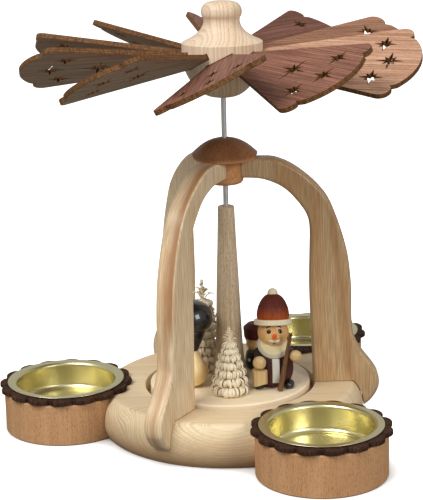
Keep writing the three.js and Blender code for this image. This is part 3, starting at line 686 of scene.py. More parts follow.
def traced(name: str, points: Sequence[Sequence[float]]) -> Object:
    """Starts a piece as one point of a plane and extrudes it along a line of places.

    Args:
        name: The piece's name.
        points: The places, with two or three coordinates; two stand for X and Y.

    Returns:
        The piece, still in edit mode.
    """
    places = [Vector((*point, 0.0)[:3]) for point in points]
    deselect()
    bpy.ops.mesh.primitive_plane_add(size=1.0, location=(0, 0, 0))
    piece = named(bpy.context.object, name)
    bpy.ops.object.mode_set(mode="EDIT")
    bpy.ops.mesh.merge(type="CENTER")
    bpy.ops.transform.translate(value=places[0])
    for here, there in zip(places, places[1:]):
        bpy.ops.mesh.extrude_vertices_move(TRANSFORM_OT_translate={"value": there - here})
    bpy.ops.mesh.select_all(action="SELECT")
    return piece


def closed_up(piece: Object) -> Object:
    """Merges doubles, turns the faces outwards and leaves edit mode.

    Args:
        piece: The piece in edit mode.

    Returns:
        The same piece in object mode.
    """
    bpy.ops.mesh.select_all(action="SELECT")
    bpy.ops.mesh.remove_doubles(threshold=DOUBLE)
    bpy.ops.mesh.normals_make_consistent(inside=False)
    bpy.ops.object.mode_set(mode="OBJECT")
    return piece


def turned(name: str, profile: Sequence[Point], steps: int = 96) -> Object:
    """Spins a profile round the upright axis, as on a lathe.

    Args:
        name: The piece's name.
        profile: Radius and height of each point, from the axis back to the axis or closed on itself.
        steps: How many faces go round.

    Returns:
        The turned piece.
    """
    piece = traced(name, [(radius, 0.0, height) for radius, height in profile])
    bpy.ops.mesh.spin(steps=steps, angle=math.tau, center=(0, 0, 0), axis=(0, 0, 1))
    return closed_up(piece)


def board(name: str, outline: Sequence[Point], thickness: float) -> Object:
    """Saws a board to an outline, with its thickness shared above and below the bench.

    Args:
        name: The piece's name.
        outline: The corners, in order.
        thickness: The board's thickness.

    Returns:
        The board, flat on the bench.
    """
    piece = traced(name, [(x, y, -thickness / 2) for x, y in outline])
    bpy.ops.mesh.edge_face_add()
    bpy.ops.mesh.extrude_region_move(TRANSFORM_OT_translate={"value": (0, 0, thickness)})
    return closed_up(piece)


def drum(name: str, radius: float, bottom: float, top: float, steps: int = 96) -> Object:
    """Turns a plain straight drum, as a cutter or a core."""
    return turned(name, [(0, bottom), (radius, bottom), (radius, top), (0, top)], steps)


def applied(piece: Object, kind: str, **settings: object) -> Object:
    """Adds a modifier and applies it.

    Args:
        piece: The piece to work on.
        kind: The modifier's type.
        settings: The modifier's properties.

    Returns:
        The same piece.
    """
    take(piece)
    modifier = piece.modifiers.new("work", kind)
    for key, value in settings.items():
        setattr(modifier, key, value)
    bpy.ops.object.modifier_apply(modifier=modifier.name)
    return piece


def cut(piece: Object, *cutters: Object) -> Object:
    """Cuts a piece by others, which are used up.

    Args:
        piece: The piece to cut.
        cutters: What is taken away from it.

    Returns:
        The cut piece.
    """
    for cutter in cutters:
        applied(piece, "BOOLEAN", operation="DIFFERENCE", solver="EXACT", object=cutter)
        bpy.data.objects.remove(cutter, do_unlink=True)
    return piece


def eased_edges(
        piece: Object, width: float, segments: int = 3, angle: float = 40.0, clamped: bool = False) -> Object:
    """Rounds every edge of a piece that is sharper than an angle.

    Args:
        piece: The piece to ease.
        width: How far the rounding reaches from the edge.
        segments: How many stretches it has.
        angle: The least angle of an edge that is eased, in degrees.
        clamped: Whether roundings stop where they would meet.

    Returns:
        The same piece.
    """
    return applied(
        piece, "BEVEL", width=width, segments=segments, limit_method="ANGLE",
        angle_limit=math.radians(angle), use_clamp_overlap=clamped, miter_outer="MITER_ARC")


def smoothed(piece: Object, angle: float = 38.0, weight: int = 60) -> Object:
    """Shades a piece smoothly and keeps its flat faces flat and its corners crisp.

    Args:
        piece: The piece to shade.
        angle: How sharp an edge stays crisp, in degrees.
        weight: How far the large faces rule the shading.

    Returns:
        The same piece.
    """
    take(piece)
    bpy.ops.object.shade_smooth_by_angle(angle=math.radians(angle))
    return applied(piece, "WEIGHTED_NORMAL", keep_sharp=True, weight=weight)


def moved(piece: Object, matrix: Matrix) -> Object:
    """Moves a piece on the bench and writes the move into its mesh.

    Args:
        piece: The piece to move.
        matrix: The move.

    Returns:
        The same piece.
    """
    take(piece)
    piece.matrix_world = matrix
    bpy.ops.object.transform_apply(location=True, rotation=True, scale=True)
    return piece


def copied(piece: Object, name: str) -> Object:
    """Copies a piece with a mesh of its own.

    Args:
        piece: The piece to copy.
        name: The copy's name.

    Returns:
        The copy.
    """
    take(piece)
    bpy.ops.object.duplicate(linked=False)
    return named(bpy.context.object, name)


def joined(pieces: Sequence[Object], name: str) -> Object:
    """Joins loose pieces into one.

    Args:
        pieces: The loose pieces, which are used up.
        name: The new piece's name.

    Returns:
        The new piece.
    """
    take(pieces[0])
    for piece in pieces:
        piece.select_set(True)
    bpy.ops.object.join()
    return named(bpy.context.object, name)


def marked(piece: Object, way: Way, sawn: Sequence[float] = (0.0, 0.0, 0.0)) -> Object:
    """Marks where each point of a piece lay in its board, with X along the grain.

    Args:
        piece: The piece on the bench.
        way: Which way its grain runs there.
        sawn: Where in the tree the board was sawn.

    Returns:
        The same piece.
    """
    mesh = piece.data
    places = np.empty(len(mesh.vertices) * 3, dtype=np.float32)
    mesh.vertices.foreach_get("co", places)
    order = {Way.ALONG_X: (0, 1, 2), Way.UPRIGHT: (2, 0, 1)}[way]
    inside = places.reshape(-1, 3)[:, order] + np.array(sawn, dtype=np.float32)
    layer = mesh.attributes.get(GRAIN) or mesh.attributes.new(GRAIN, "FLOAT_VECTOR", "POINT")
    layer.data.foreach_set("vector", inside.astype(np.float32).ravel())
    return piece


def edge_lined(piece: Object, along: float) -> Object:
    """Marks an upright board, with lines that follow the curve on its narrow faces.

    Args:
        piece: The upright board, with its thickness along Y.
        along: How far along the tree the board was sawn.

    Returns:
        The same piece.
    """
    mesh = piece.data
    points = np.empty(len(mesh.vertices) * 3, dtype=np.float32)
    mesh.vertices.foreach_get("co", points)
    of_corner = np.empty(len(mesh.loops), dtype=np.int32)
    mesh.loops.foreach_get("vertex_index", of_corner)
    x, y, z = points.reshape(-1, 3)[of_corner].T
    narrow = np.concatenate([
        np.full(face.loop_total, abs(face.normal.y) < NARROW_SHARE) for face in mesh.polygons])
    inside = np.stack([np.where(narrow, z - x, z) + along, np.where(narrow, EDGE_PLACE, x), y], axis=1)
    layer = mesh.attributes.new(GRAIN, "FLOAT_VECTOR", "CORNER")
    layer.data.foreach_set("vector", inside.astype(np.float32).ravel())
    return piece


def dressed(piece: Object, finish: Finish) -> None:
    """Gives a piece one finish all over."""
    piece.data.materials.clear()
    piece.data.materials.append(finish.material())


def settled(piece: Object, body: Body, finish: Finish, place: Matrix, *nodes: str) -> Object:
    """Dresses a piece, sets it into the frame in metres and says what it rides on and stands for.

    Args:
        piece: The piece on the bench.
        body: The body that it moves with.
        finish: Its finish.
        place: Its place in the frame, in millimetres.
        nodes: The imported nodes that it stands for.

    Returns:
        The settled piece.
    """
    dressed(piece, finish)
    moved(piece, Matrix.Scale(MM, 4) @ place)
    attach(piece, body.value)
    if nodes:
        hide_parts(*nodes)
    low = min(vertex.co.z for vertex in piece.data.vertices) / MM
    LOG.info("%-28s %6d points, lowest %7.2f mm, %s", piece.name, len(piece.data.vertices), low, finish.name)
    return piece


def turn_z(degrees: float) -> Matrix:
    """Turns about the upright axis."""
    return Matrix.Rotation(math.radians(degrees), 4, "Z")


def shift(x: float = 0.0, y: float = 0.0, z: float = 0.0) -> Matrix:
    """Shifts by three lengths."""
    return Matrix.Translation((x, y, z))


# Outlines
def flowing(points: Sequence[Point], count: int) -> list[Point]:
    """A smooth line through chosen points.

    Args:
        points: The points that it passes.
        count: How many short stretches it has.

    Returns:
        The points of the smooth line.
    """
    places = []
    last = len(points) - 1
    for i in range(count + 1):
        along = last * i / count
        k = min(int(along), last - 1)
        t = along - k
        a, b, c, d = (Vector(points[max(0, min(j, last))]) for j in (k - 1, k, k + 1, k + 2))
        place = b + 0.5 * t * ((c - a) + t * ((2 * a - 5 * b + 4 * c - d) + t * (3 * (b - c) + d - a)))
        places.append((place.x, place.y))
    return places


def rounded(corners: Sequence[Place], steps: int = 5, ring: bool = False) -> list[Point]:
    """An outline whose corners are rounded.

    Args:
        corners: Two coordinates and a rounding radius for each corner.
        steps: How many stretches each rounding has.
        ring: Whether the outline closes on itself.

    Returns:
        The points of the outline.
    """
    path: list[Point] = []
    count = len(corners)
    for i, (x, y, radius) in enumerate(corners):
        if radius == 0 or (not ring and i in (0, count - 1)):
            path.append((x, y))
            continue
        here = Vector((x, y))
        before = Vector(corners[i - 1][:2]) - here
        after = Vector(corners[(i + 1) % count][:2]) - here
        half = before.angle(after) / 2
        reach = radius / math.tan(half)
        towards = (before.normalized() + after.normalized()).normalized()
        centre = here + towards * (radius / math.sin(half))
        first = before.normalized() * reach + here - centre
        last = after.normalized() * reach + here - centre
        sweep = -first.angle_signed(last)
        start = math.atan2(first.y, first.x)
        for k in range(steps + 1):
            angle = start + sweep * k / steps
            path.append((centre.x + radius * math.cos(angle), centre.y + radius * math.sin(angle)))
    return path


def shared(shares: Sequence[Point], radius: float, bottom: float, height: float, count: int) -> list[Point]:
    """A smooth side line from shares of a radius and a height."""
    return flowing([(r * radius, bottom + z * height) for r, z in shares], count)


# Base with its turntable recess
@dataclass
class Base:
    """The turned base disc, with a round bite for each holder and holes for the dowels."""

    rim_height: float = 6.5
    shoulder: float = 4.0
    tuck: float = 2.0
    edge: float = 2.6
    recess_radius: float = 34.3
    recess_floor: float = 11.0
    recess_edge: float = 0.5
    bore_radius: float = 4.3
    bore_depth: float = 6.3
    foot_edge: float = 0.8
    flat: float = 9.0
    ease: float = 0.25
    arc_steps: int = 9
    steps: int = 144
    bite_steps: int = 128
    holders: int = 3
    box: Span = field(default_factory=lambda: span("base_disc"))
    seat: Span = field(default_factory=lambda: span("holder_2"))
    leg_pin: Span = field(default_factory=lambda: span("leg_dowel_1"))
    holder_pin: Span = field(default_factory=lambda: span("holder_dowel_2"))

    @property
    def rim_radius(self) -> float:
        """The radius of the widest circle."""
        return self.box.high.x

    def rim(self, grow: float = 0.0) -> list[Point]:
        """The rounded rim from the foot to the top edge.

        Args:
            grow: How far outside the rim the line runs.

        Returns:
            Radius and height of each point.
        """
        def arc(rise: float, draw_in: float, sign: int) -> list[Point]:
            """One round stretch from the widest circle.

            Args:
                rise: How far it goes.
                draw_in: How far it draws in on the way.
                sign: One for upwards, minus one for downwards.

            Returns:
                Radius and height of each point.
            """
            radius = (rise * rise + draw_in * draw_in) / (2 * draw_in)
            sweep = math.asin(rise / radius)
            angles = [sweep * i / self.arc_steps for i in range(self.arc_steps + 1)]
            outwards = self.rim_radius + grow - radius
            return [(outwards + radius * math.cos(a), self.rim_height + sign * radius * math.sin(a))
                    for a in angles]
        lower = arc(self.rim_height, self.tuck, -1)
        upper = arc(self.box.top - self.rim_height, self.shoulder, 1)
        return [*reversed(lower), *upper[1:]]

    def cutter(self, clearance: float) -> Object:
        """The base's own outline as a solid, which trims the legs that stand on it.

        Args:
            clearance: How far outside the base it lies.

        Returns:
            The solid.
        """
        line = [(r, z + clearance) for r, z in self.rim(clearance)]
        top = self.box.top + clearance
        return turned("base_room", [(0, clearance), *line, (0, top)])

    def build(self) -> None:
        """Turns the base, bites it for the holders and drills it."""
        line = self.rim()
        top_edge = rounded([(*line[-3], 0), (*line[-1], self.edge), (self.recess_radius, self.box.top, 0)])
        foot = rounded([(0, 0, 0), (*line[0], self.foot_edge), (*line[2], 0)])
        bore_floor = self.recess_floor - self.bore_depth
        inside = rounded([
            (self.recess_radius + self.flat, self.box.top, 0),
            (self.recess_radius, self.box.top, self.recess_edge),
            (self.recess_radius, self.recess_floor, 0), (self.bore_radius, self.recess_floor, 0),
            (self.bore_radius, bore_floor, 0), (0, bore_floor, 0)], steps=3)
        piece = turned("turned_base", [*foot[:-1], *line[2:-2], *top_edge[1:-1], *inside[1:]], self.steps)
        leg, pin = self.leg_pin, self.holder_pin
        half = (pin.high.x - pin.low.x) / 2 + FIT
        for i in range(self.holders):
            bearing = turn_z(360 * i / self.holders)
            opposite = turn_z(180 + 360 * i / self.holders)
            room = self.seat.radius + FIT
            bite = drum("bite", room, -OVERRUN, self.box.top + OVERRUN, self.bite_steps)
            hole = drum("hole", leg.radius + FIT, leg.bottom - FIT, leg.top + FIT, HOLE_STEPS)
            lying = drum("lying", pin.height / 2 + FIT, -half, half, HOLE_STEPS)
            moved(bite, opposite @ shift(-self.seat.out))
            moved(hole, bearing @ shift(leg.out))
            spot = opposite @ shift(-pin.out, 0, pin.level)
            moved(lying, spot @ Matrix.Rotation(math.pi / 2, 4, "Y"))
            cut(piece, bite, hole, lying)
        eased_edges(piece, self.ease, segments=2, angle=50.0, clamped=True)
        smoothed(marked(piece, Way.ALONG_X))
        settled(piece, Body.STAND, Finishes.BASE_ASH, Matrix(), "base_disc")


# Turntable, spindle and column
@dataclass
class RunningGear:
    """What turns on the spindle below the crown."""

    edge: float = 0.7
    bore: float = 1.3
    table_steps: int = 128
    wire_steps: int = 32
    side_steps: int = 30
    table_sawn: Place = (30.0, 0.0, 12.0)
    spindle_tip: float = 1.6
    spindle_edge: float = 0.3
    tip_radius: float = 0.25
    tip_edge: float = 0.5
    column_sawn: Place = (0.0, 2.0, 0.0)
    foot_radius: float = 7.5
    top_radius: float = 3.25
    top_edge: float = 0.5
    side_shares: tuple[Point, ...] = (
        (1, 0), (0.93, 0.025), (0.76, 0.16), (0.67, 0.34), (0.6, 0.56), (0.5, 0.8))

    def build(self) -> None:
        """Makes the turntable, the spindle and the column."""
        table = span("turntable")
        profile = rounded([
            (self.bore, table.bottom, 0), (table.radius, table.bottom, self.edge),
            (table.radius, table.top, self.edge), (self.bore, table.top, 0), (self.bore, table.bottom, 0)])
        disc = turned("turntable_disc", profile, self.table_steps)
        smoothed(marked(disc, Way.ALONG_X, self.table_sawn))
        settled(disc, Body.CAROUSEL, Finishes.TURNTABLE, Matrix(), "turntable")
        rod = span("spindle")
        profile = rounded([
            (0, rod.bottom, 0), (self.tip_radius, rod.bottom, 0),
            (rod.radius, rod.bottom + self.spindle_tip, self.tip_edge),
            (rod.radius, rod.top, self.spindle_edge), (0, rod.top, 0)], steps=3)
        wire = smoothed(marked(turned("spindle_wire", profile, self.wire_steps), Way.UPRIGHT))
        settled(wire, Body.CAROUSEL, Finishes.STEEL, Matrix(), "spindle")
        post = span("column")
        side = shared(self.side_shares, self.foot_radius, post.bottom, post.height, self.side_steps)
        top = rounded([
            (*side[-1], 0), (self.top_radius, post.top, self.top_edge), (self.bore, post.top, 0)], steps=4)
        foot = (self.bore, post.bottom)
        piece = turned("column_turning", [foot, *side, *top[1:], foot])
        smoothed(marked(piece, Way.UPRIGHT, self.column_sawn))
        settled(piece, Body.CAROUSEL, Finishes.COLUMN, Matrix(), "column")


# Legs
@dataclass
class Legs:
    """Three arched boards whose feet hug the rim of the base."""

    base: Base
    count: int = 3
    set_in: float = 4.6
    width: float = 16.0
    arch_beam: float = 7.9
    foot_proud: float = 6.5
    foot_top: float = 34.1
    foot_tip: float = 5.6
    edge: float = 1.7
    crown_radius: float = 7.5
    cap_radius: float = 13.2
    plank: float = 260.0
    outer_steps: int = 72
    inner_steps: int = 40
    outer_shares: tuple[Point, ...] = (
        (0.08, 1), (0.34, 1), (0.44, 0.99), (0.54, 0.968), (0.65, 0.931), (0.745, 0.889), (0.825, 0.839),
        (0.89, 0.768), (0.937, 0.702), (0.972, 0.636), (0.99, 0.571), (1, 0.507), (1, 0.44), (1.001, 0.395),
        (1.009, 0.345))
    inner_shares: tuple[Point, ...] = (
        (1.015, 0.165), (1.003, 0.326), (0.982, 0.54), (0.99, 0.69), (0.995, 0.785), (0.965, 0.84),
        (0.905, 0.878), (0.805, 0.92), (0.705, 0.952), (0.585, 0.976), (0.42, 0.995), (0.22, 1), (0.1, 1))
    foot_shares: tuple[Point, ...] = (
        (0.135, 1), (0.31, 0.86), (0.54, 0.735), (0.78, 0.61), (0.94, 0.5), (1, 0.39), (0.98, 0.29),
        (0.88, 0.2), (0.7, 0.1), (0.49, 0.035), (0.3, 0))

    def outline(self, top: float) -> list[Point]:
        """Draws the leg's outline.

        Args:
            top: The leg's top height.

        Returns:
            Distance from the spindle and height of each point.
        """
        reach = self.base.rim_radius - self.set_in
        spread = self.base.rim_radius + self.foot_proud - reach
        rise = self.foot_top - self.foot_tip
        down = [(r * reach, z * top) for r, z in self.outer_shares]
        foot = [(reach + r * spread, self.foot_tip + z * rise) for r, z in self.foot_shares]
        outer = flowing([*down, *foot], self.outer_steps)
        inner = flowing(
            [(r * (reach - self.width), z * (top - self.arch_beam)) for r, z in self.inner_shares],
            self.inner_steps)
        return [*outer, (inner[0][0], self.foot_tip), *inner]

    def build(self) -> None:
        """Saws one leg, rounds it, trims it to the base and the crown, and copies it."""
        box = span("leg_1")
        cap_bottom = box.top + FIT
        pin = self.base.leg_pin
        piece = board("leg_board", self.outline(cap_bottom), box.high.y - box.low.y)
        eased_edges(piece, self.edge, segments=4, angle=50.0)
        moved(piece, Matrix.Rotation(math.pi / 2, 4, "X"))
        hole = moved(
            drum("hole", pin.radius + FIT, pin.bottom, pin.top + FIT, HOLE_STEPS), shift(pin.out))
        cut(piece, self.base.cutter(FIT), drum("crown_room", self.crown_radius, 0, cap_bottom + OVERRUN),
            drum("cap_room", self.cap_radius, box.top, cap_bottom + OVERRUN), hole)
        for i in range(self.count):
            leg = copied(piece, f"leg_board_{i + 1}")
            smoothed(edge_lined(leg, self.plank * i))
            finish = Finishes.WARM_ASH if i == 0 else Finishes.LEG_ASH
            settled(leg, Body.STAND, finish, turn_z(360 * i / self.count), f"leg_{i + 1}")
        bpy.data.objects.remove(piece, do_unlink=True)


# Crown
@dataclass
class Crown:
    """The hub that the legs butt against, under a domed cap."""

    hub_rounding: float = 1.6
    hub_edge: float = 0.2
    hub_aside: float = 3.0
    bush_room: float = 2.6
    cap_edge: float = 2.2
    cap_undercut: float = 0.55
    cap_chamfer: float = 0.3
    cap_hole: float = 1.7
    cap_hole_sink: float = 0.15
    cap_aside: float = 2.0
    dome_steps: int = 26
    dome_shares: tuple[Point, ...] = (
        (1, 0), (0.93, 0.14), (0.78, 0.42), (0.6, 0.68), (0.4, 0.87), (0.2, 0.97), (0, 1))

    def build(self) -> None:
        """Turns the hub and the cap."""
        hub = span("crown_hub")
        profile = rounded([
            (self.bush_room, hub.bottom, 0), (hub.radius, hub.bottom, self.hub_rounding),
            (hub.radius, hub.top, self.hub_edge), (self.bush_room, hub.top, 0),
            (self.bush_room, hub.bottom, 0)])
        piece = smoothed(marked(turned("crown_collar", profile), Way.ALONG_X, (0, self.hub_aside, -hub.top)))
        settled(piece, Body.STAND, Finishes.CROWN_BEECH, Matrix(), "crown_hub")
        cap = span("crown_cap")
        edge_top = cap.bottom + self.cap_edge
        dome = shared(self.dome_shares, cap.radius, edge_top, cap.top - edge_top, self.dome_steps)
        above = [point for point in dome if point[0] > self.cap_hole + self.cap_chamfer]
        foot = cap.radius - self.cap_undercut
        profile = [
            (self.cap_hole, cap.bottom), (foot - self.cap_chamfer, cap.bottom),
            (foot, cap.bottom + self.cap_chamfer), *above, (self.cap_hole, cap.top - self.cap_hole_sink),
            (self.cap_hole, cap.bottom)]
        piece = turned("cap_turning", profile)
        smoothed(marked(piece, Way.UPRIGHT, (-cap.bottom, 0, self.cap_aside)))
        settled(piece, Body.STAND, Finishes.CAP_BROWN, Matrix(), "crown_cap")


# Tealight holders
@dataclass
class Holders:
    """Three holder blocks, each with a scalloped ring and a pressed metal cup."""

    base: Base
    count: int = 3
    first_bearing: float = 60.0
    edge: float = 0.6
    pocket_radius: float = 20.65
    pocket_floor: float = 7.9
    pocket_edge: float = 0.2
    pocket_fillet: float = 0.5
    pin_gap: float = 0.4
    pin_out: float = 8.0
    lobes: int = 16
    lobe_depth: float = 2.8
    lobe_swell: float = 0.35
    lobe_power: float = 1.5
    ring_hole: float = 20.65
    ring_foot_edge: float = 0.3
    ring_hole_edge: float = 0.2
    notch_sink: float = 0.5
    notch_foot: float = 0.5
    ring_rounding: float = 0.7
    lobe_steps: int = 12
    cup_radius: float = 19.75
    sheet: float = 0.6
    flange: float = 0.3
    flange_edges: Place = (0.2, 0.12, 0.14)
    lip: float = 0.15
    mouth: float = 1.5
    fillet: float = 2.0
    steps: int = 128
    cup_steps: int = 144
    crisp: float = 45.0
    block_sawn: Place = (90.0, 11.0, 0.0)
    ring_sawn: Place = (75.0, 0.0, 0.0)
    cup_sawn: Place = (60.0, 0.0, 0.0)

    def block(self) -> Object:
        """Turns one holder block about its own axis and drills it for the dowel."""
        box = self.base.seat
        profile = rounded([
            (0, box.bottom, 0), (box.radius, box.bottom, self.edge), (box.radius, box.top, self.edge),
            (self.pocket_radius, box.top, self.pocket_edge),
            (self.pocket_radius, self.pocket_floor, self.pocket_fillet), (0, self.pocket_floor, 0)], steps=4)
        piece = turned("holder", profile, self.steps)
        pin = self.base.holder_pin
        inner = pin.low.x - box.out - self.pin_gap
        lying = drum("lying", pin.height / 2 + FIT, -box.radius - self.pin_out, -inner, HOLE_STEPS)
        moved(lying, shift(z=pin.level) @ Matrix.Rotation(math.pi / 2, 4, "Y"))
        return cut(piece, lying)

    def ring(self) -> Object:
        """Turns one ring and draws its rim in between the lobes."""
        box = span("holder_ring_2")
        reach = box.high.y + self.lobe_swell
        top = box.top + self.lobe_swell
        profile = rounded([
            (self.ring_hole, box.bottom, 0), (reach, box.bottom, self.ring_foot_edge),
            (reach, top, self.ring_rounding), (self.ring_hole, top, self.ring_hole_edge),
            (self.ring_hole, box.bottom, 0)], steps=5)
        piece = turned("ring", profile, self.lobes * self.lobe_steps)
        half = math.pi * reach / self.lobes
        bow = (half ** 2 + self.lobe_depth ** 2) / (2 * self.lobe_depth)
        for vertex in piece.data.vertices:
            x, y, z = vertex.co
            radius = math.hypot(x, y)
            out = (radius - self.ring_hole) / (reach - self.ring_hole)
            turns = self.lobes * math.atan2(y, x) / math.tau
            off = 2 * abs(turns - round(turns)) * half
            dip = bow - math.sqrt(bow ** 2 - off ** 2)
            drawn = radius - dip * max(out, 0) ** self.lobe_power
            sunk = self.notch_sink * (dip / self.lobe_depth) ** 2 * out * (z > box.bottom + self.notch_foot)
            vertex.co = (x * drawn / radius, y * drawn / radius, z - sunk)
        return piece

    def cup(self) -> Object:
        """Presses one cup with a rounded floor, a flat flange and a well rounded mouth."""
        box = span("tealight_cup_2")
        outer = self.cup_radius + self.sheet
        flange_top = box.top - self.lip
        flange_bottom = flange_top - self.flange
        floor = box.bottom + self.sheet
        under, low_edge, high_edge = self.flange_edges
        profile = rounded([
            (0, box.bottom, 0), (outer, box.bottom, self.fillet + self.sheet), (outer, flange_bottom, under),
            (box.radius, flange_bottom, low_edge), (box.radius, flange_top, high_edge),
            (self.cup_radius, flange_top, self.mouth), (self.cup_radius, floor, self.fillet),
            (0, floor, 0)], steps=7)
        return turned("cup", profile, self.cup_steps)

    def build(self) -> None:
        """Makes the three holders with their rings and cups."""
        pieces = (
            (self.block(), "holder_block", "holder", Way.UPRIGHT, self.block_sawn, Finishes.BEECH, {}),
            (self.ring(), "scalloped_ring", "holder_ring", Way.UPRIGHT, self.ring_sawn, Finishes.WALNUT,
             {"angle": self.crisp}),
            (self.cup(), "metal_cup", "tealight_cup", Way.ALONG_X, self.cup_sawn, Finishes.GOLD, {}))
        for i in range(self.count):
            place = turn_z(self.first_bearing + 360 * i / self.count) @ shift(-self.base.seat.out)
            for model, name, node, way, sawn, finish, shading in pieces:
                piece = copied(model, f"{name}_{i + 1}")
                smoothed(marked(piece, way, Vector(sawn) * i), **shading)
                settled(piece, Body.STAND, finish, place, f"{node}_{i + 1}")
        for model, *_ in pieces:
            bpy.data.objects.remove(model, do_unlink=True)


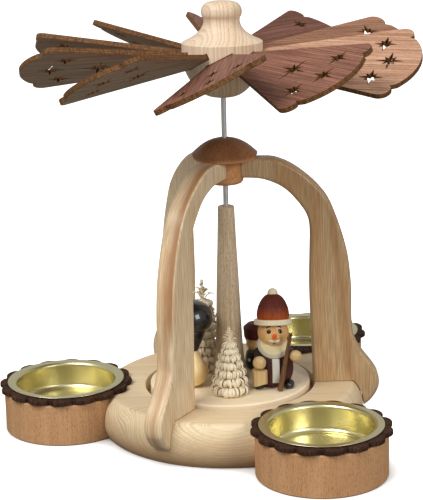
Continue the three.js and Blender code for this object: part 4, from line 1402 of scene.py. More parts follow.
# Rotor
@dataclass
class Rotor:
    """The turned rotor hub and its ten pierced blades."""

    count: int = 10
    start: float = -94.1
    pitch: float = 26.0
    rise: float = 15.2
    thickness: float = 2.0
    root_radius: float = 12.6
    root_half: float = 5.0
    reach: float = 78.6
    half_width: float = 21.7
    corner_distance: float = 67.6
    corner_radius: float = 4.2
    arc_radius: float = 23.0
    arc_half: float = 15.8
    notch: float = 0.9
    belt_rise: float = 14.7
    belt_width: float = 6.6
    knob_radius: float = 7.9
    bore_depth: float = 24.0
    bore: float = 1.3
    bore_edge: float = 0.2
    belt_edge: float = 0.4
    slot_out: float = 2.0
    shoulder_share: float = 0.6
    steps: int = 144
    bowl_steps: int = 26
    shoulder_steps: int = 24
    knob_steps: int = 22
    end_steps: int = 24
    corner_steps: int = 12
    ease: float = 0.12
    crisp: float = 30.0
    plank: float = 170.0
    plank_row: float = 7.0
    planks: int = 4
    rays: int = 8
    star_hub: float = 1.7
    stars: tuple[tuple[float, float, float, float], ...] = (
        (62.4, 10.9, 4.7, 2.9), (62.4, -10.9, 4.7, 2.9), (66.8, 0.0, 5.4, 3.3), (48.5, 0.0, 7.2, 4.3))
    veneers: tuple[Veneer, ...] = (
        Finishes.BLADE_RED, Finishes.BLADE_RED, Finishes.BLADE_LIGHT, Finishes.BLADE_TAN, Finishes.BLADE_DARK,
        Finishes.BLADE_RED, Finishes.BLADE_DARK, Finishes.BLADE_RED, Finishes.BLADE_DARK, Finishes.BLADE_RED)
    bowl_shares: tuple[Point, ...] = (
        (0, 0), (0.25, 0.012), (0.45, 0.08), (0.64, 0.24), (0.82, 0.48), (0.94, 0.75), (1, 1))
    shoulder_shares: tuple[Point, ...] = (
        (1, 0), (0.96, 0.05), (0.78, 0.2), (0.6, 0.4), (0.49, 0.62), (0.447, 0.84), (0.455, 1))
    knob_shares: tuple[Point, ...] = (
        (0.905, 0), (0.95, 0.08), (1, 0.3), (0.96, 0.6), (0.78, 0.86), (0.45, 0.98), (0, 1))

    @property
    def slope(self) -> float:
        """The angle of a blade's sides to its middle line."""
        return math.atan2(self.half_width - self.root_half, self.corner_distance - self.root_radius)

    def outline(self) -> list[Point]:
        """A blade's outline: straight sides, round corners, small notches and a bowed end."""
        def arc(cx: float, cy: float, radius: float, start: float, end: float, steps: int) -> list[Point]:
            """Points along a round stretch.

            Args:
                cx: Its centre along the blade.
                cy: Its centre across the blade.
                radius: Its radius.
                start: The angle at which it starts.
                end: The angle at which it ends.
                steps: How many short stretches it has.

            Returns:
                The points.
            """
            angles = [start + (end - start) * i / steps for i in range(steps + 1)]
            return [(cx + radius * math.cos(a), cy + radius * math.sin(a)) for a in angles]
        across = self.half_width - self.corner_radius
        sweep = math.asin(self.arc_half / self.arc_radius)
        stop = math.asin((self.arc_half + self.notch - across) / self.corner_radius)
        end = arc(self.reach - self.arc_radius, 0, self.arc_radius, -sweep, sweep, self.end_steps)
        corner = arc(
            self.corner_distance, across, self.corner_radius, stop, math.pi / 2 + self.slope,
            self.corner_steps)
        upper = [(corner[0][0] - self.notch, self.arc_half), *corner, (self.root_radius, self.root_half)]
        lower = [(x, -y) for x, y in reversed(upper)]
        return [*lower, *end[1:-1], *upper]

    def star(self, along: float, across: float, long: float, short: float) -> Object:
        """Saws one star-shaped cutter.

        Args:
            along: Its place along the blade.
            across: Its place across the blade.
            long: The length of every other ray.
            short: The length of the rays in between.

        Returns:
            The cutter.
        """
        points = []
        for i in range(2 * self.rays):
            ray = long if i % 4 == 0 else short
            radius = ray if i % 2 == 0 else self.star_hub
            angle = math.pi * i / self.rays
            points.append((along + radius * math.cos(angle), across + radius * math.sin(angle)))
        return board("star", points, self.thickness * 2)

    def place(self, index: int, middle: float) -> Matrix:
        """Turns a blade to its bearing and pitches it.

        Args:
            index: Which blade it is.
            middle: The height of the blades' middles.

        Returns:
            Where the blade sits.
        """
        bearing = self.start + 360 * index / self.count
        return turn_z(bearing) @ shift(z=middle) @ Matrix.Rotation(math.radians(self.pitch), 4, "X")

    def build(self) -> None:
        """Turns the hub, cuts its slots, saws one blade and copies it."""
        hub = span("rotor_hub")
        belt = hub.bottom + self.belt_rise
        belt_top = belt + self.belt_width
        belt_radius = hub.radius
        shoulder = (hub.top - belt_top) * self.shoulder_share
        knob = belt_top + shoulder
        middle = hub.bottom + self.rise
        bowl = shared(self.bowl_shares, belt_radius, hub.bottom, self.belt_rise, self.bowl_steps)
        bowl = [point for point in bowl if point[0] > self.bore + self.bore_edge]
        profile = [
            (0, hub.bottom + self.bore_depth), (self.bore, hub.bottom + self.bore_depth),
            (self.bore, hub.bottom + self.bore_edge), *bowl, (belt_radius, belt_top - self.belt_edge),
            *shared(self.shoulder_shares, belt_radius, belt_top, shoulder, self.shoulder_steps),
            *shared(self.knob_shares, self.knob_radius, knob, hub.top - knob, self.knob_steps)]
        piece = turned("rotor_turning", profile, self.steps)
        near = self.root_radius - FIT
        far = belt_radius + self.slot_out
        def half(radius: float) -> float:
            """Half the slot's width at a radius."""
            return self.root_half + FIT + (radius - self.root_radius) * math.tan(self.slope)
        for i in range(self.count):
            outline = [(near, -half(near)), (far, -half(far)), (far, half(far)), (near, half(near))]
            slot = board("slot", outline, self.thickness + 2 * FIT)
            cut(piece, moved(slot, self.place(i, middle)))
        smoothed(marked(piece, Way.UPRIGHT, (-hub.bottom, 0, 0)))
        settled(piece, Body.CAROUSEL, Finishes.ROTOR_MAPLE, Matrix(), "rotor_hub")
        blade = board("blade", self.outline(), self.thickness)
        cut(blade, *(self.star(*star) for star in self.stars))
        eased_edges(blade, self.ease, segments=1)
        for i in range(self.count):
            piece = copied(blade, f"blade_board_{i + 1:02d}")
            row = self.plank_row * (i % self.planks)
            smoothed(marked(piece, Way.ALONG_X, (self.plank * i, row, 0)), self.crisp)
            settled(piece, Body.CAROUSEL, self.veneers[i], self.place(i, middle), f"blade_{i + 1:02d}")
        bpy.data.objects.remove(blade, do_unlink=True)


# Figures
@dataclass
class Figure:
    """What every figure has: a place on the turntable and the way it faces."""

    distance: float
    bearing: float
    facing: float
    ground: float = 18.3

    @property
    def place(self) -> Matrix:
        """From the figure's own bench, facing +X, to its place on the turntable."""
        spot = turn_z(self.bearing) @ shift(self.distance)
        return spot @ turn_z(self.facing - self.bearing) @ shift(z=self.ground)

    def stand(
            self, piece: Object, name: str, finish: Finish, *nodes: str,
            lean: Optional[Matrix] = None) -> Object:
        """Names a piece of the figure, smooths it and sets it in its place.

        Args:
            piece: The piece on the figure's bench.
            name: Its name.
            finish: Its finish.
            nodes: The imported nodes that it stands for.
            lean: How it leans on the figure, if it does.

        Returns:
            The settled piece.
        """
        smoothed(marked(named(piece, name), Way.UPRIGHT))
        place = self.place @ lean if lean else self.place
        return settled(piece, Body.CAROUSEL, finish, place, *nodes)


def ball(radius: float, centre: Sequence[float], squash: Place = ROUND, rings: int = 12) -> Object:
    """Turns a ball, presses it to an oval and sets it at its centre.

    Args:
        radius: Its radius before it is pressed.
        centre: Its centre.
        squash: The share of its radius along each direction.
        rings: How many stretches lead from pole to pole.

    Returns:
        The ball.
    """
    angles = [math.pi * (i / rings - 0.5) for i in range(1, rings)]
    side = [(radius * math.cos(a), radius * math.sin(a)) for a in angles]
    piece = turned("ball", [(0.0, -radius), *side, (0.0, radius)], 2 * rings)
    return moved(piece, shift(*centre) @ Matrix.Diagonal((*squash, 1)))


def rod(start: Sequence[float], end: Sequence[float], radii: Point, edge: float, steps: int = 28) -> Object:
    """Turns a tapered rod between two places.

    Args:
        start: The centre of its first end.
        end: The centre of its last end.
        radii: Its radius at each end.
        edge: How far its ends are rounded.
        steps: How many faces go round.

    Returns:
        The rod.
    """
    way = Vector(end) - Vector(start)
    low, high = radii
    profile = rounded([(0, 0, 0), (low, 0, edge), (high, way.length, edge), (0, way.length, 0)], steps=4)
    turn = way.to_track_quat("Z", "Y").to_matrix().to_4x4()
    return moved(turned("rod", profile, steps), shift(*start) @ turn)


@dataclass(frozen=True)
class Ball:
    """A small ball on a figure, set down by its centre."""

    radius: float
    centre: Place
    squash: Place = ROUND

    def made(self, sign: int = 1) -> Object:
        """Turns the ball, on the figure's other side for a sign of minus one."""
        forward, across, height = self.centre
        return ball(self.radius, (forward, sign * across, height), self.squash)


@dataclass(frozen=True)
class Dot:
    """A small ball on the bearded figure's face, set down from the middle of the face."""

    radius: float
    across: float
    height: float
    proud: float
    squash: Place
    aside: float = 0.0


@dataclass
class BeardedFigure(Figure):
    """A long-coated figure with a pointed hat, a bowl beard, a sack block and a staff."""

    steps: int = 72
    coat_radius: float = 7.9
    coat_bottom: float = 0.5
    coat_top: float = 16.6
    coat_steps: int = 24
    coat_shares: tuple[Point, ...] = (
        (0.78, 0), (0.95, 0.2), (1, 0.42), (0.93, 0.66), (0.74, 0.88), (0.5, 1))
    panel_span: Point = (1.9, 12.6)
    panel_proud: float = 0.35
    panel_sunk: float = 0.6
    panel_width: float = 3.0
    panel_edge: float = 0.3
    panel_turn: float = 7.0
    boot: Ball = Ball(2.4, (4.4, 5.9, 0.9), (1.35, 1.0, 0.9))
    ground_room: float = 20.0
    sleeve_radii: Point = (2.3, 1.9)
    sleeve_edge: float = 0.5
    sleeves: tuple[tuple[str, Place, Place], ...] = (
        ("left", (0.2, 5.6, 13.6), (6.6, 7.4, 13.5)), ("right", (0.2, -5.6, 13.6), (6.2, -5.7, 11.6)))
    hands: tuple[tuple[str, Ball], ...] = (
        ("left", Ball(2.25, (7.6, 8.7, 13.8), (1.0, 1.12, 1.0))), ("right", Ball(2.7, (7.4, -5.6, 11.0))))
    head_radius: float = 6.25
    head_centre: float = 21.4
    beard_tilt: float = 45.0
    beard_slip: float = 4.7
    beard_depth: float = 3.6
    beard_steps: int = 64
    beard_corners: tuple[Place, ...] = (
        (0.0, 0.0, 0.0), (2.85, 0.0, 0.8), (6.65, 1.8, 0.6), (6.5, 2.592, 0.3), (5.2, 3.6, 0.12),
        (0.0, 3.5, 0.0))
    brim_radius: float = 7.6
    brim_bottom: float = 24.65
    brim_height: float = 2.15
    brim_edges: Point = (0.3, 0.4)
    hat_radius: float = 6.5
    hat_top: float = 36.7
    hat_lean: float = 12.0
    hat_steps: int = 26
    hat_shares: tuple[Point, ...] = (
        (0.96, 0), (1, 0.12), (0.975, 0.32), (0.88, 0.55), (0.71, 0.77), (0.5, 0.93), (0.3, 1))
    pompom_radius: float = 2.1
    pompom_height: float = 2.4
    pompom_foot: float = 0.3
    pompom_rings: int = 8
    pompom_steps: int = 32
    face_turn: float = 4.0
    eye: Dot = Dot(0.98, 2.15, 1.85, -0.15, (0.5, 0.95, 1.0), aside=0.15)
    # Painted highlight: a small white dot on each eye for the glint of the light.
    gleam: Dot = Dot(0.17, 2.15, 2.2, 0.32, (0.6, 1.0, 1.0), aside=-0.1)
    moustache: Dot = Dot(1.1, 1.15, -2.1, -0.35, (0.8, 1.15, 0.62))
    mouth: Dot = Dot(0.8, 0.0, -3.2, -0.35, (0.8, 1.0, 0.5))
    brow_points: tuple[Point, ...] = ((1.3, 3.75), (2.1, 3.7), (3.0, 3.1))
    brow_radii: Place = (0.2, 0.27, 0.16)
    brow_edge: float = 0.1
    whisker_points: tuple[Point, Point] = ((1.5, -2.0), (2.35, -1.5))
    whisker_radii: Point = (0.45, 0.2)
    whisker_edge: float = 0.2
    nose_points: tuple[Place, Place] = ((0.0, -1.3, -0.5), (0.2, 1.2, -0.3))
    nose_radii: Point = (1.12, 0.85)
    nose_edge: float = 0.75
    sack_half: float = 2.75
    sack_flat: float = 1.6
    sack_height: float = 6.5
    sack_edge: float = 0.2
    sack_spot: Place = (7.4, -5.5, 4.95)
    sack_turn: float = 14.0
    corner_half: float = 4.0
    corner_depth: float = 4.0
    corner_spot: Place = (1.6, -1.2, -5.3)
    corner_turn: float = 25.0
    corner_tilt: float = -24.0
    staff_foot: Place = (9.1, 2.4, 0.0)
    staff_crook: Place = (8.6, 6.3, 20.2)
    staff_radii: Point = (1.1, 0.75)
    staff_edge: float = 0.2
    twig_root: Place = (8.6, 6.1, 19.4)
    twig_tips: tuple[Place, ...] = ((8.9, 6.5, 23.9), (8.2, 7.4, 23.6), (8.4, 5.7, 22.0))
    twig_radii: Point = (0.55, 0.34)
    twig_edge: float = 0.15

    def face(self, across: float, height: float, proud: float = 0.0) -> Vector:
        """Finds a place on the front of the head.

        Args:
            across: How far from the middle of the face, to the figure's left.
            height: How far above the middle of the head.
            proud: How far outside the head.

        Returns:
            The place on the figure's bench.
        """
        radius = self.head_radius + proud
        forward = math.sqrt(radius ** 2 - across ** 2 - height ** 2)
        return turn_z(self.face_turn) @ Vector((forward, across, self.head_centre + height))

    def dot(self, dot: Dot, sign: int = 1) -> Object:
        """Turns a small ball onto the face, on its right half for a sign of minus one."""
        spot = self.face(dot.aside + sign * dot.across, dot.height, dot.proud)
        return ball(dot.radius, spot, dot.squash)

    def coat(self) -> None:
        """Turns the coat and adds its white panel."""
        height = self.coat_top - self.coat_bottom
        side = shared(self.coat_shares, self.coat_radius, self.coat_bottom, height, self.coat_steps)
        coat = turned("coat", [(0, self.coat_bottom), *side, (0, self.coat_top)], self.steps)
        self.stand(coat, "long_coat", Finishes.MAROON, "bearded_figure_coat")
        low, high = self.panel_span
        front = [point for point in side if low < point[1] < high]
        proud = [(r + self.panel_proud, z) for r, z in front]
        sunk = [(r - self.panel_sunk, z) for r, z in reversed(front)]
        panel = eased_edges(board("panel", [*proud, *sunk], self.panel_width), self.panel_edge)
        moved(panel, turn_z(self.panel_turn) @ Matrix.Rotation(math.pi / 2, 4, "X"))
        self.stand(panel, "white_coat_panel", Finishes.WHITE)

    def limbs(self) -> None:
        """Adds the boots, cut flat on the ground, the sleeves and the hands."""
        for side, sign in SIDES:
            ground = drum("ground", self.ground_room, -self.ground_room, 0, HOLE_STEPS)
            boot = cut(self.boot.made(sign), ground)
            self.stand(boot, f"boot_{side}_turning", Finishes.BLACK, f"bearded_figure_boot_{side}")
        for side, start, end in self.sleeves:
            sleeve = rod(start, end, self.sleeve_radii, self.sleeve_edge)
            self.stand(sleeve, f"{side}_sleeve", Finishes.MAROON, f"bearded_figure_sleeve_{side}")
        for side, hand in self.hands:
            self.stand(hand.made(), f"{side}_hand_ball", Finishes.HAND, f"bearded_figure_hand_{side}")

    def head(self) -> None:
        """Turns the head and its bowl-shaped beard."""
        head = ball(self.head_radius, (0, 0, self.head_centre))
        self.stand(head, "head_turning", Finishes.HEAD, "bearded_figure_head")
        beard = marked(turned("beard", rounded(self.beard_corners, steps=4), self.beard_steps), Way.UPRIGHT)
        tilt = math.radians(self.beard_tilt)
        down = Vector((math.sin(tilt), 0, -math.cos(tilt)))
        out = Vector((math.cos(tilt), 0, math.sin(tilt)))
        spot = Vector((0, 0, self.head_centre)) + down * self.beard_slip - out * self.beard_depth
        lean = Matrix.Rotation(math.pi / 2 - tilt, 4, "Y")
        smoothed(moved(beard, turn_z(self.face_turn) @ shift(*spot) @ lean))
        settled(
            named(beard, "beard_bowl"), Body.CAROUSEL, Finishes.BEARD, self.place, "bearded_figure_beard")

    def hat(self) -> None:
        """Turns the brim, the hat and the pompom, which lean back."""
        bottom = self.brim_bottom
        top = bottom + self.brim_height
        lean = shift(z=bottom) @ Matrix.Rotation(math.radians(-self.hat_lean), 4, "Y") @ shift(z=-bottom)
        low_edge, high_edge = self.brim_edges
        profile = rounded([
            (0, bottom, 0), (self.brim_radius, bottom, low_edge), (self.brim_radius, top, high_edge),
            (0, top, 0)], steps=4)
        brim = turned("brim", profile, self.steps)
        self.stand(brim, "hat_brim", Finishes.CREAM, "bearded_figure_brim", lean=lean)
        side = shared(self.hat_shares, self.hat_radius, top, self.hat_top - top, self.hat_steps)
        hat = turned("hat", [(0, top), *side, (0, self.hat_top)], self.steps)
        self.stand(hat, "pointed_hat", Finishes.HAT_RED, "bearded_figure_hat", lean=lean)
        r, foot = self.pompom_radius, self.hat_top + self.pompom_foot
        peak = self.hat_top + self.pompom_height
        angles = [math.pi / 2 * i / self.pompom_rings for i in range(self.pompom_rings)]
        dome = [(r * math.cos(a), foot + (peak - foot) * math.sin(a)) for a in angles]
        profile = [(0, self.hat_top), (r, self.hat_top), *dome, (0, peak)]
        pompom = turned("pompom", profile, self.pompom_steps)
        self.stand(pompom, "pompom_ball", Finishes.CREAM, "bearded_figure_pompom", lean=lean)

    def features(self) -> None:
        """Adds the doll's face: round eyes with a painted highlight on each, brows, moustache, nose and
        mouth.
        """
        for side, sign in SIDES:
            self.stand(self.dot(self.eye, sign), f"eye_{side}", Finishes.BLACK)
            # A white dot on each eye is a painted highlight.
            self.stand(self.dot(self.gleam, sign), f"gleam_{side}", Finishes.WHITE)
            points = [self.face(sign * across, height) for across, height in self.brow_points]
            stretches = zip(points, points[1:], zip(self.brow_radii, self.brow_radii[1:]))
            brow = joined([rod(*stretch, self.brow_edge) for stretch in stretches], "brow")
            self.stand(brow, f"brow_{side}", Finishes.BLACK)
            self.stand(self.dot(self.moustache, sign), f"moustache_{side}", Finishes.WHITE)
            ends = [self.face(sign * across, height) for across, height in self.whisker_points]
            whisker = rod(*ends, self.whisker_radii, self.whisker_edge)
            self.stand(whisker, f"whisker_{side}", Finishes.WHITE)
        ends = [self.face(*point) for point in self.nose_points]
        self.stand(rod(*ends, self.nose_radii, self.nose_edge), "nose_cone", Finishes.NOSE)
        self.stand(self.dot(self.mouth), "mouth_dot", Finishes.BLACK)

    def luggage(self) -> None:
        """Saws the eight-sided sack block with one slanted corner, and splits the staff."""
        half, flat, wide = self.sack_half, self.sack_flat, self.corner_half
        outline = [
            (flat, half), (half, flat), (half, -flat), (flat, -half), (-flat, -half), (-half, -flat),
            (-half, flat), (-flat, half)]
        square = [(-wide, -wide), (wide, -wide), (wide, wide), (-wide, wide)]
        corner = board("corner", square, self.corner_depth)
        slant = turn_z(self.corner_turn) @ Matrix.Rotation(math.radians(self.corner_tilt), 4, "Y")
        moved(corner, shift(*self.corner_spot) @ slant)
        sack = cut(board("sack", outline, self.sack_height), corner)
        eased_edges(sack, self.sack_edge, segments=2, angle=30.0)
        moved(sack, shift(*self.sack_spot) @ turn_z(self.sack_turn))
        self.stand(sack, "sack_block", Finishes.HAND, "bearded_figure_sack")
        parts = [rod(self.staff_foot, self.staff_crook, self.staff_radii, self.staff_edge)]
        for tip in self.twig_tips:
            parts.append(rod(self.twig_root, tip, self.twig_radii, self.twig_edge))
        self.stand(joined(parts, "staff"), "split_staff", Finishes.STAFF, "bearded_figure_staff")

    def build(self) -> None:
        """Makes the whole figure."""
        self.coat()
        self.limbs()
        self.head()
        self.hat()
        self.features()
        self.luggage()


@dataclass
class RoundFigure(Figure):
    """A pear-shaped figure with black hair under a large glossy cap."""

    steps: int = 72
    body_radius: float = 6.4
    body_height: float = 18.6
    body_steps: int = 26
    body_shares: tuple[Point, ...] = (
        (0.5, 0), (0.84, 0.09), (1, 0.28), (0.89, 0.46), (0.53, 0.69), (0.4, 0.84), (0.36, 1))
    hair_top: float = 23.3
    hair_corners: tuple[Place, ...] = (
        (0.0, 14.0, 0.0), (2.5, 14.0, 0.6), (5.2, 20.2, 4.0), (5.9, 23.3, 0.3), (0.0, 23.3, 0.0))
    cap_radius: float = 8.9
    cap_top: float = 34.9
    cap_steps: int = 34
    cap_shares: tuple[Point, ...] = (
        (0.64, 0), (0.86, 0.1), (0.975, 0.26), (1, 0.4), (0.95, 0.6), (0.8, 0.8), (0.56, 0.93),
        (0.28, 0.99), (0, 1))
    face: Ball = Ball(4.4, (2.4, 0.0, 19.2))
    eye: Ball = Ball(0.55, (6.4, 1.5, 20.3), (1.0, 1.0, 1.1))
    nose: Ball = Ball(0.6, (6.9, 0.0, 19.0))
    buttons: tuple[Ball, ...] = (
        Ball(0.6, (6.1, 0.0, 4.4), FLAT), Ball(0.6, (6.2, 0.0, 7.2), FLAT), Ball(0.6, (4.9, 0.0, 10.0), FLAT))

    def build(self) -> None:
        """Turns the body, the hair and the cap, and adds a plain face on the outward side."""
        line = shared(self.body_shares, self.body_radius, 0, self.body_height, self.body_steps)
        body = turned("body", [(0, 0), *line, (0, self.body_height)], self.steps)
        # The body's lighter finish is painted light.
        self.stand(body, "pear_body", Finishes.PEAR_WITH_PAINTED_LIGHT, "round_figure_body")
        hair = turned("hair", rounded(self.hair_corners, steps=6), self.steps)
        self.stand(hair, "bobbed_hair", Finishes.BLACK, "round_figure_hair")
        bottom = self.hair_top
        line = shared(self.cap_shares, self.cap_radius, bottom, self.cap_top - bottom, self.cap_steps)
        cap = turned("cap", [(0, bottom), *line], self.steps)
        self.stand(cap, "domed_cap", Finishes.BLACK, "round_figure_cap")
        self.stand(self.face.made(), "face_ball", Finishes.NATURAL)
        for side, sign in SIDES:
            self.stand(self.eye.made(sign), f"round_eye_{side}", Finishes.BLACK)
        self.stand(self.nose.made(), "round_nose", Finishes.NOSE)
        for button in self.buttons:
            name = f"round_button_at_{button.centre[2]:.0f}"
            self.stand(button.made(), name, Finishes.BLACK)


@dataclass
class SmallFigure(Figure):
    """A small figure behind the column, in a dark coat and a drum hat."""

    steps: int = 56
    coat_radius: float = 4.6
    coat_top: float = 7.6
    coat_steps: int = 18
    coat_shares: tuple[Point, ...] = ((0.86, 0), (1, 0.15), (0.98, 0.5), (0.86, 0.84), (0.7, 1))
    head_radius: float = 3.9
    head_top: float = 12.6
    head_steps: int = 14
    head_shares: tuple[Point, ...] = ((0.78, 0), (0.95, 0.25), (1, 0.5), (0.95, 1))
    hat_corners: tuple[Place, ...] = (
        (0.0, 12.7, 0.0), (4.65, 12.7, 0.3), (5.0, 17.2, 0.5), (3.1, 18.9, 1.4), (0.0, 19.4, 0.0))
    buttons: tuple[tuple[str, Ball], ...] = (
        ("low", Ball(0.55, (4.35, 0.0, 2.2), FLAT)), ("high", Ball(0.55, (4.3, 0.0, 4.6), FLAT)),
        ("back", Ball(0.75, (-4.35, 0.0, 3.9), FLAT)))
    eye: Ball = Ball(0.42, (3.55, 1.35, 10.9))
    nose: Ball = Ball(0.5, (3.95, 0.0, 10.0))

    def build(self) -> None:
        """Turns the coat, the head and the hat, and adds buttons and a plain face."""
        line = shared(self.coat_shares, self.coat_radius, 0, self.coat_top, self.coat_steps)
        coat = turned("coat", [(0, 0), *line, (0, self.coat_top)], self.steps)
        self.stand(coat, "short_coat", Finishes.BLACK, "small_figure_coat")
        bottom = self.coat_top + FIT
        line = shared(self.head_shares, self.head_radius, bottom, self.head_top - bottom, self.head_steps)
        head = turned("head", [(0, bottom), *line, (0, self.head_top)], self.steps)
        self.stand(head, "small_head", Finishes.NATURAL, "small_figure_head")
        hat = turned("hat", rounded(self.hat_corners, steps=5), self.steps)
        self.stand(hat, "drum_hat", Finishes.DRUM_RED, "small_figure_hat")
        for name, button in self.buttons:
            self.stand(button.made(), f"white_button_{name}", Finishes.WHITE)
        for side, sign in SIDES:
            self.stand(self.eye.made(sign), f"small_eye_{side}", Finishes.BLACK)
        self.stand(self.nose.made(), "small_nose", Finishes.NOSE)


# Trees of curled shavings
@dataclass
class CurledTree(Figure):
    """A tree whose tiers are rings of thin shavings that curl up at their ends."""

    facing: float = 0.0
    name: str = "tree"
    node: str = "front_tree"
    seed: int = 7
    tiers: tuple[Place, ...] = ()
    sectors: int = 3
    tip: float = 27.4
    stem_radii: Place = (1.1, 0.9, 0.25)
    stem_roundings: Point = (0.1, 0.2)
    stem_bend_share: float = 0.7
    stem_point: float = 0.6
    stem_steps: int = 10
    strip: float = 0.85
    strip_least_share: float = 0.7
    sheet: float = 0.14
    root: float = 0.8
    root_rise_share: float = 1.5
    middle_rise_share: float = 1.35
    path_steps: int = 4
    roll_turns: float = 0.92
    roll_steps: int = 12
    roll_in_share: float = 0.2
    spacing_share: float = 1.06
    wander_share: float = 0.15
    twist: float = 14.0
    leans: Point = (-4.0, 3.0)
    size_shares: Point = (0.87, 1.05)
    lift: float = 0.22
    tuft: int = 100
    tuft_bottom: float = 19.0
    tuft_reach: float = 3.4
    tuft_gap: float = 1.0
    tuft_turn: float = 137.5
    tuft_loss_share: float = 0.75
    tuft_shares: Point = (0.7, 1.15)
    tuft_leans: Point = (-30.0, 15.0)
    tuft_rise: float = 35.0
    splinter: float = 0.22
    splinter_sheet: float = 0.06
    splinter_steps: int = 6
    splinter_shares: tuple[Point, ...] = ((0.0, 0.0), (0.4, 0.5), (0.75, 0.72), (1.0, 0.62))
    crisp: float = 50.0

    def ribbon(self, path: Sequence[Point], width: float, sheet: float) -> Object:
        """Draws a thin strip along a line.

        Args:
            path: Distance from the stem's axis and height of each point.
            width: The strip's width.
            sheet: Its thickness.

        Returns:
            The strip, with its grain along it.
        """
        piece = traced("ribbon", [(x, -width / 2, z) for x, z in path])
        bpy.ops.mesh.extrude_region_move(TRANSFORM_OT_translate={"value": (0, width, 0)})
        closed_up(piece)
        return marked(applied(piece, "SOLIDIFY", thickness=sheet, offset=0), Way.ALONG_X)

    def curl(self, reach: float, roll: float) -> list[Point]:
        """Draws a strip's line from the stem out to its rolled end.

        Args:
            reach: How far the roll stands out from the stem's axis.
            roll: The roll's outer radius.

        Returns:
            Distance from the stem's axis and height of each point, with the roll's middle at height zero.
        """
        out = reach - roll
        middle = (self.root + out) / 2
        path = flowing([
            (self.root, roll * self.root_rise_share), (middle, roll * self.middle_rise_share),
            (out, roll)], self.path_steps)[:-1]
        steps = round(self.roll_steps * self.roll_turns)
        for i in range(steps + 1):
            angle = math.radians(90 - 360 * self.roll_turns * i / steps)
            radius = roll * (1 - self.roll_in_share * i / steps)
            path.append((out + radius * math.cos(angle), radius * math.sin(angle)))
        return path

    def tier(self, height: float, reach: float, roll: float, chance: random.Random) -> list[Object]:
        """Lays one ring of curls: one sector by chance, then its copies round the stem.

        Args:
            height: The height of the rolls' middles.
            reach: How far the rolls stand out.
            roll: The rolls' radius.
            chance: Where the small differences come from.

        Returns:
            The sectors of the ring.
        """
        least = self.strip_least_share
        width = self.strip * (least + (1 - least) * reach / self.tiers[0][1])
        model = self.ribbon(self.curl(reach, roll), width, self.sheet)
        inside = round(math.tau * reach / (width * self.spacing_share * self.sectors))
        curls = []
        for k in range(inside):
            wander = chance.uniform(-self.wander_share, self.wander_share)
            around = turn_z(360 * (k + wander) / (inside * self.sectors))
            twist = shift(reach) @ turn_z(chance.uniform(-self.twist, self.twist)) @ shift(-reach)
            lean = Matrix.Rotation(math.radians(chance.uniform(*self.leans)), 4, "Y")
            size = Matrix.Scale(chance.uniform(*self.size_shares), 4)
            rise = shift(z=chance.uniform(-self.lift, self.lift))
            curls.append(moved(copied(model, "curl"), rise @ around @ twist @ lean @ size))
        bpy.data.objects.remove(model, do_unlink=True)
        sector = joined(curls, "sector")
        start = chance.uniform(0, 360)
        places = [shift(z=height) @ turn_z(start + 360 * k / self.sectors) for k in range(self.sectors)]
        ring = [moved(copied(sector, "sector"), place) for place in places]
        bpy.data.objects.remove(sector, do_unlink=True)
        return ring

    def top_tuft(self, chance: random.Random) -> list[Object]:
        """Sets fine splinters round the top, shorter and steeper towards the tip.

        Args:
            chance: Where the small differences come from.

        Returns:
            The splinters.
        """
        line = flowing(self.splinter_shares, self.splinter_steps)
        model = self.ribbon(line, self.splinter, self.splinter_sheet)
        tuft = []
        for k in range(self.tuft):
            along = k / self.tuft
            length = self.tuft_reach * (1 - self.tuft_loss_share * along) * chance.uniform(*self.tuft_shares)
            slant = chance.uniform(*self.tuft_leans) - self.tuft_rise * along
            lean = Matrix.Rotation(math.radians(slant), 4, "Y")
            height = self.tuft_bottom + (self.tip - self.tuft_gap - self.tuft_bottom) * along
            stretch = Matrix.Diagonal((length, 1, length, 1))
            around = turn_z(k * self.tuft_turn)
            tuft.append(moved(copied(model, "hair"), shift(z=height) @ around @ lean @ stretch))
        bpy.data.objects.remove(model, do_unlink=True)
        return tuft

    def build(self) -> None:
        """Turns the stem, lays the tiers of curls and sets splinters round the top."""
        chance = random.Random(self.seed)
        low, bend, high = self.stem_radii
        low_edge, bend_edge = self.stem_roundings
        stem = rounded([
            (0, 0, 0), (low, 0, low_edge), (bend, self.tip * self.stem_bend_share, bend_edge),
            (high, self.tip - self.stem_point, 0), (0, self.tip, 0)], steps=2)
        parts = [turned("stem", stem, self.stem_steps)]
        for height, reach, roll in self.tiers:
            parts += self.tier(height, reach, roll, chance)
        parts += self.top_tuft(chance)
        tree = marked(joined(parts, self.name), Way.UPRIGHT)
        take(tree)
        bpy.ops.object.shade_smooth_by_angle(angle=math.radians(self.crisp))
        settled(tree, Body.CAROUSEL, Finishes.SHAVINGS, self.place, self.node)


# Light, floor and camera
@dataclass(frozen=True)
class Lamp:
    """A soft square lamp, in metres and watts."""

    name: str
    place: Place
    size: float
    power: float


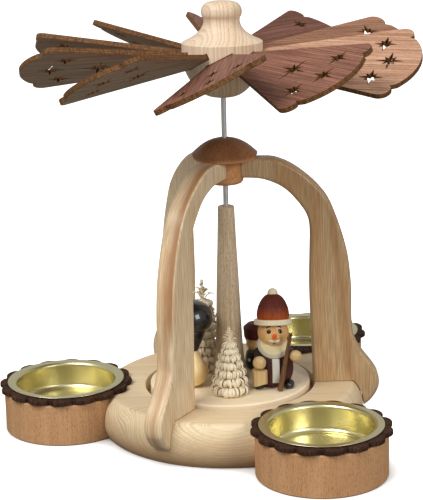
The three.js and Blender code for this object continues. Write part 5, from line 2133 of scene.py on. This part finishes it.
@dataclass
class Studio:
    """A pale floor, soft light from above and the photograph's own view."""

    camera_distance: float = 619.5
    camera_height: float = 235.06
    azimuth: float = -0.20
    yaw: float = 0.57
    pitch: float = 14.75
    roll: float = -1.52
    focal_pixels: float = 1609.55
    picture_height: float = 500.0
    sensor: float = 36.0
    nearest: float = 0.01
    farthest: float = 100.0
    ambient: float = 0.39
    mirrored: float = 0.5
    seen_room: float = 1.0
    floor_size: float = 30.0
    floor_dull: float = 0.7
    # The colour the floor is painted close under the part: painted shadow.
    painted_contact_shadow: Colour = paint("302a26")
    floor_pale: Colour = paint("f4f4f4")
    floor_unseen: Colour = paint("6c6a66")
    # Painted shadow: within this reach of the part the floor's colour darkens and its glow is cut.
    contact: float = 0.009
    painted_shadow_shares: Point = (0.05, 0.3)
    lift_shares: Point = (0.4, 0.95)
    lift: float = 0.85
    aim: Place = (0.0, 0.0, 0.06)
    lamps: tuple[Lamp, ...] = (
        Lamp("window", (-0.66, -0.66, 1.14), 0.8, 15.4), Lamp("right", (0.85, -0.95, 0.62), 0.5, 7.0))

    def camera(self) -> None:
        """Sets the camera where the photograph was taken."""
        data = bpy.data.cameras.new("photograph")
        data.sensor_width = self.sensor
        data.lens = self.focal_pixels / self.picture_height * self.sensor
        data.clip_start, data.clip_end = self.nearest, self.farthest
        camera = bpy.data.objects.new("photograph", data)
        bpy.context.scene.collection.objects.link(camera)
        azimuth = math.radians(self.azimuth)
        bearing = azimuth + math.radians(self.yaw)
        pitch, roll = math.radians(self.pitch), math.radians(self.roll)
        level = Vector((-math.sin(bearing), math.cos(bearing), 0))
        ahead = level * math.cos(pitch) - Vector((0, 0, math.sin(pitch)))
        side = ahead.cross(Vector((0, 0, 1))).normalized()
        above = side.cross(ahead)
        right = side * math.cos(roll) + above * math.sin(roll)
        up = above * math.cos(roll) - side * math.sin(roll)
        spot = Vector((
            math.sin(azimuth) * self.camera_distance, -math.cos(azimuth) * self.camera_distance,
            self.camera_height)) * MM
        turn = Matrix((right, up, -ahead)).transposed().to_4x4()
        camera.matrix_world = Matrix.Translation(spot) @ turn
        bpy.context.scene.camera = camera

    def hang(self, lamp: Lamp) -> None:
        """Hangs one lamp and points it at the part.

        Args:
            lamp: The lamp to hang.
        """
        data = bpy.data.lights.new(lamp.name, "AREA")
        data.shape, data.size, data.energy = "SQUARE", lamp.size, lamp.power
        hung = bpy.data.objects.new(lamp.name, data)
        bpy.context.scene.collection.objects.link(hung)
        hung.location = lamp.place
        hung.rotation_euler = (Vector(self.aim) - Vector(lamp.place)).to_track_quat("-Z", "Y").to_euler()

    def surroundings(self) -> None:
        """Lights the room evenly, brighter in reflections and white where the camera sees it."""
        world = bpy.data.worlds.new("room")
        world.use_nodes = True
        bpy.context.scene.world = world
        tree = world.node_tree
        tree.nodes.clear()
        path = tree.nodes.new("ShaderNodeLightPath")
        shine = tree.nodes.new("ShaderNodeMapRange")
        shine.inputs["To Min"].default_value = self.ambient
        shine.inputs["To Max"].default_value = self.mirrored
        tree.links.new(path.outputs["Is Glossy Ray"], shine.inputs["Value"])
        level = tree.nodes.new("ShaderNodeMapRange")
        level.inputs["To Max"].default_value = self.seen_room
        tree.links.new(shine.outputs[0], level.inputs["To Min"])
        tree.links.new(path.outputs["Is Camera Ray"], level.inputs["Value"])
        back = tree.nodes.new("ShaderNodeBackground")
        back.inputs["Color"].default_value = (1.0, 1.0, 1.0, 1.0)
        tree.links.new(level.outputs[0], back.inputs["Strength"])
        tree.links.new(back.outputs[0], tree.nodes.new("ShaderNodeOutputWorld").inputs["Surface"])

    def floor(self) -> None:
        """Lays a floor that looks white with a small painted shadow close under the part, and reflects little
        light.
        """
        deselect()
        bpy.ops.mesh.primitive_plane_add(size=self.floor_size, location=(0, 0, 0))
        floor = named(bpy.context.object, "pale_floor")
        sheet = NodeSheet("pale_floor")
        seen = sheet.add("LightPath").outputs["Is Camera Ray"]
        open_sky = sheet.add("AmbientOcclusion", {"Distance": self.contact}).outputs["AO"]
        # Painted shadow: where occlusion shows the floor lies close under the part, its colour turns dark and
        # its white glow is cut.
        pale = sheet.blend(sheet.slope(open_sky, *self.painted_shadow_shares), self.painted_contact_shadow, self.floor_pale)
        lift = sheet.times(seen, sheet.slope(open_sky, *self.lift_shares, 0.0, self.lift))
        floor.data.materials.append(sheet.close({
            "Base Color": sheet.blend(seen, self.floor_unseen, pale), "Roughness": self.floor_dull,
            "Emission Color": (1, 1, 1, 1), "Emission Strength": lift}))

    def build(self) -> None:
        """Sets the whole stage."""
        bpy.context.scene.view_settings.view_transform = "Standard"
        self.camera()
        self.surroundings()
        self.floor()
        for lamp in self.lamps:
            self.hang(lamp)


def hidden_nodes() -> None:
    """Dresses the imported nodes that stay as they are, inside the base and the crown."""
    finishes = {
        "leg_dowel": Finishes.DOWEL, "holder_dowel": Finishes.DOWEL, "pivot": Finishes.BRASS,
        "crown_bush": Finishes.BRASS}
    for name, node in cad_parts.items():
        for start, finish in finishes.items():
            if name.startswith(start):
                dressed(node, finish)


def main() -> None:
    """Builds the carousel piece by piece."""
    logging.basicConfig(level=logging.INFO, format="%(message)s")
    Studio().build()
    base = Base()
    base.build()
    Legs(base).build()
    Crown().build()
    Holders(base).build()
    RunningGear().build()
    Rotor().build()
    BeardedFigure(distance=19.3, bearing=-24.5, facing=-92.0).build()
    RoundFigure(distance=17.0, bearing=206.0, facing=206.0).build()
    SmallFigure(distance=17.0, bearing=50.0, facing=50.0).build()
    CurledTree(
        distance=18.0, bearing=-90.0, name="front_curled_tree", node="front_tree", tip=27.4, tuft=150,
        tuft_bottom=20.0, tuft_reach=3.0,
        tiers=((1.75, 7.6, 1.7), (5.3, 7.0, 1.62), (8.6, 6.3, 1.52), (11.7, 5.5, 1.4), (14.6, 4.6, 1.28),
               (17.2, 3.8, 1.15), (19.5, 2.9, 0.95))).build()
    CurledTree(
        distance=16.2, bearing=131.0, name="tall_curled_tree", node="tall_tree", seed=11, tip=38.2, tuft=34,
        tuft_bottom=29.0, tuft_reach=4.2, splinter=1.0,
        tiers=((1.7, 8.0, 1.6), (5.2, 7.7, 1.6), (8.8, 7.3, 1.55), (12.3, 6.9, 1.5), (15.7, 6.5, 1.45),
               (19.0, 6.1, 1.4), (22.2, 5.7, 1.3), (25.2, 5.2, 1.2), (28.0, 4.5, 1.05))).build()
    hidden_nodes()


if __name__ == "__main__":
    main()
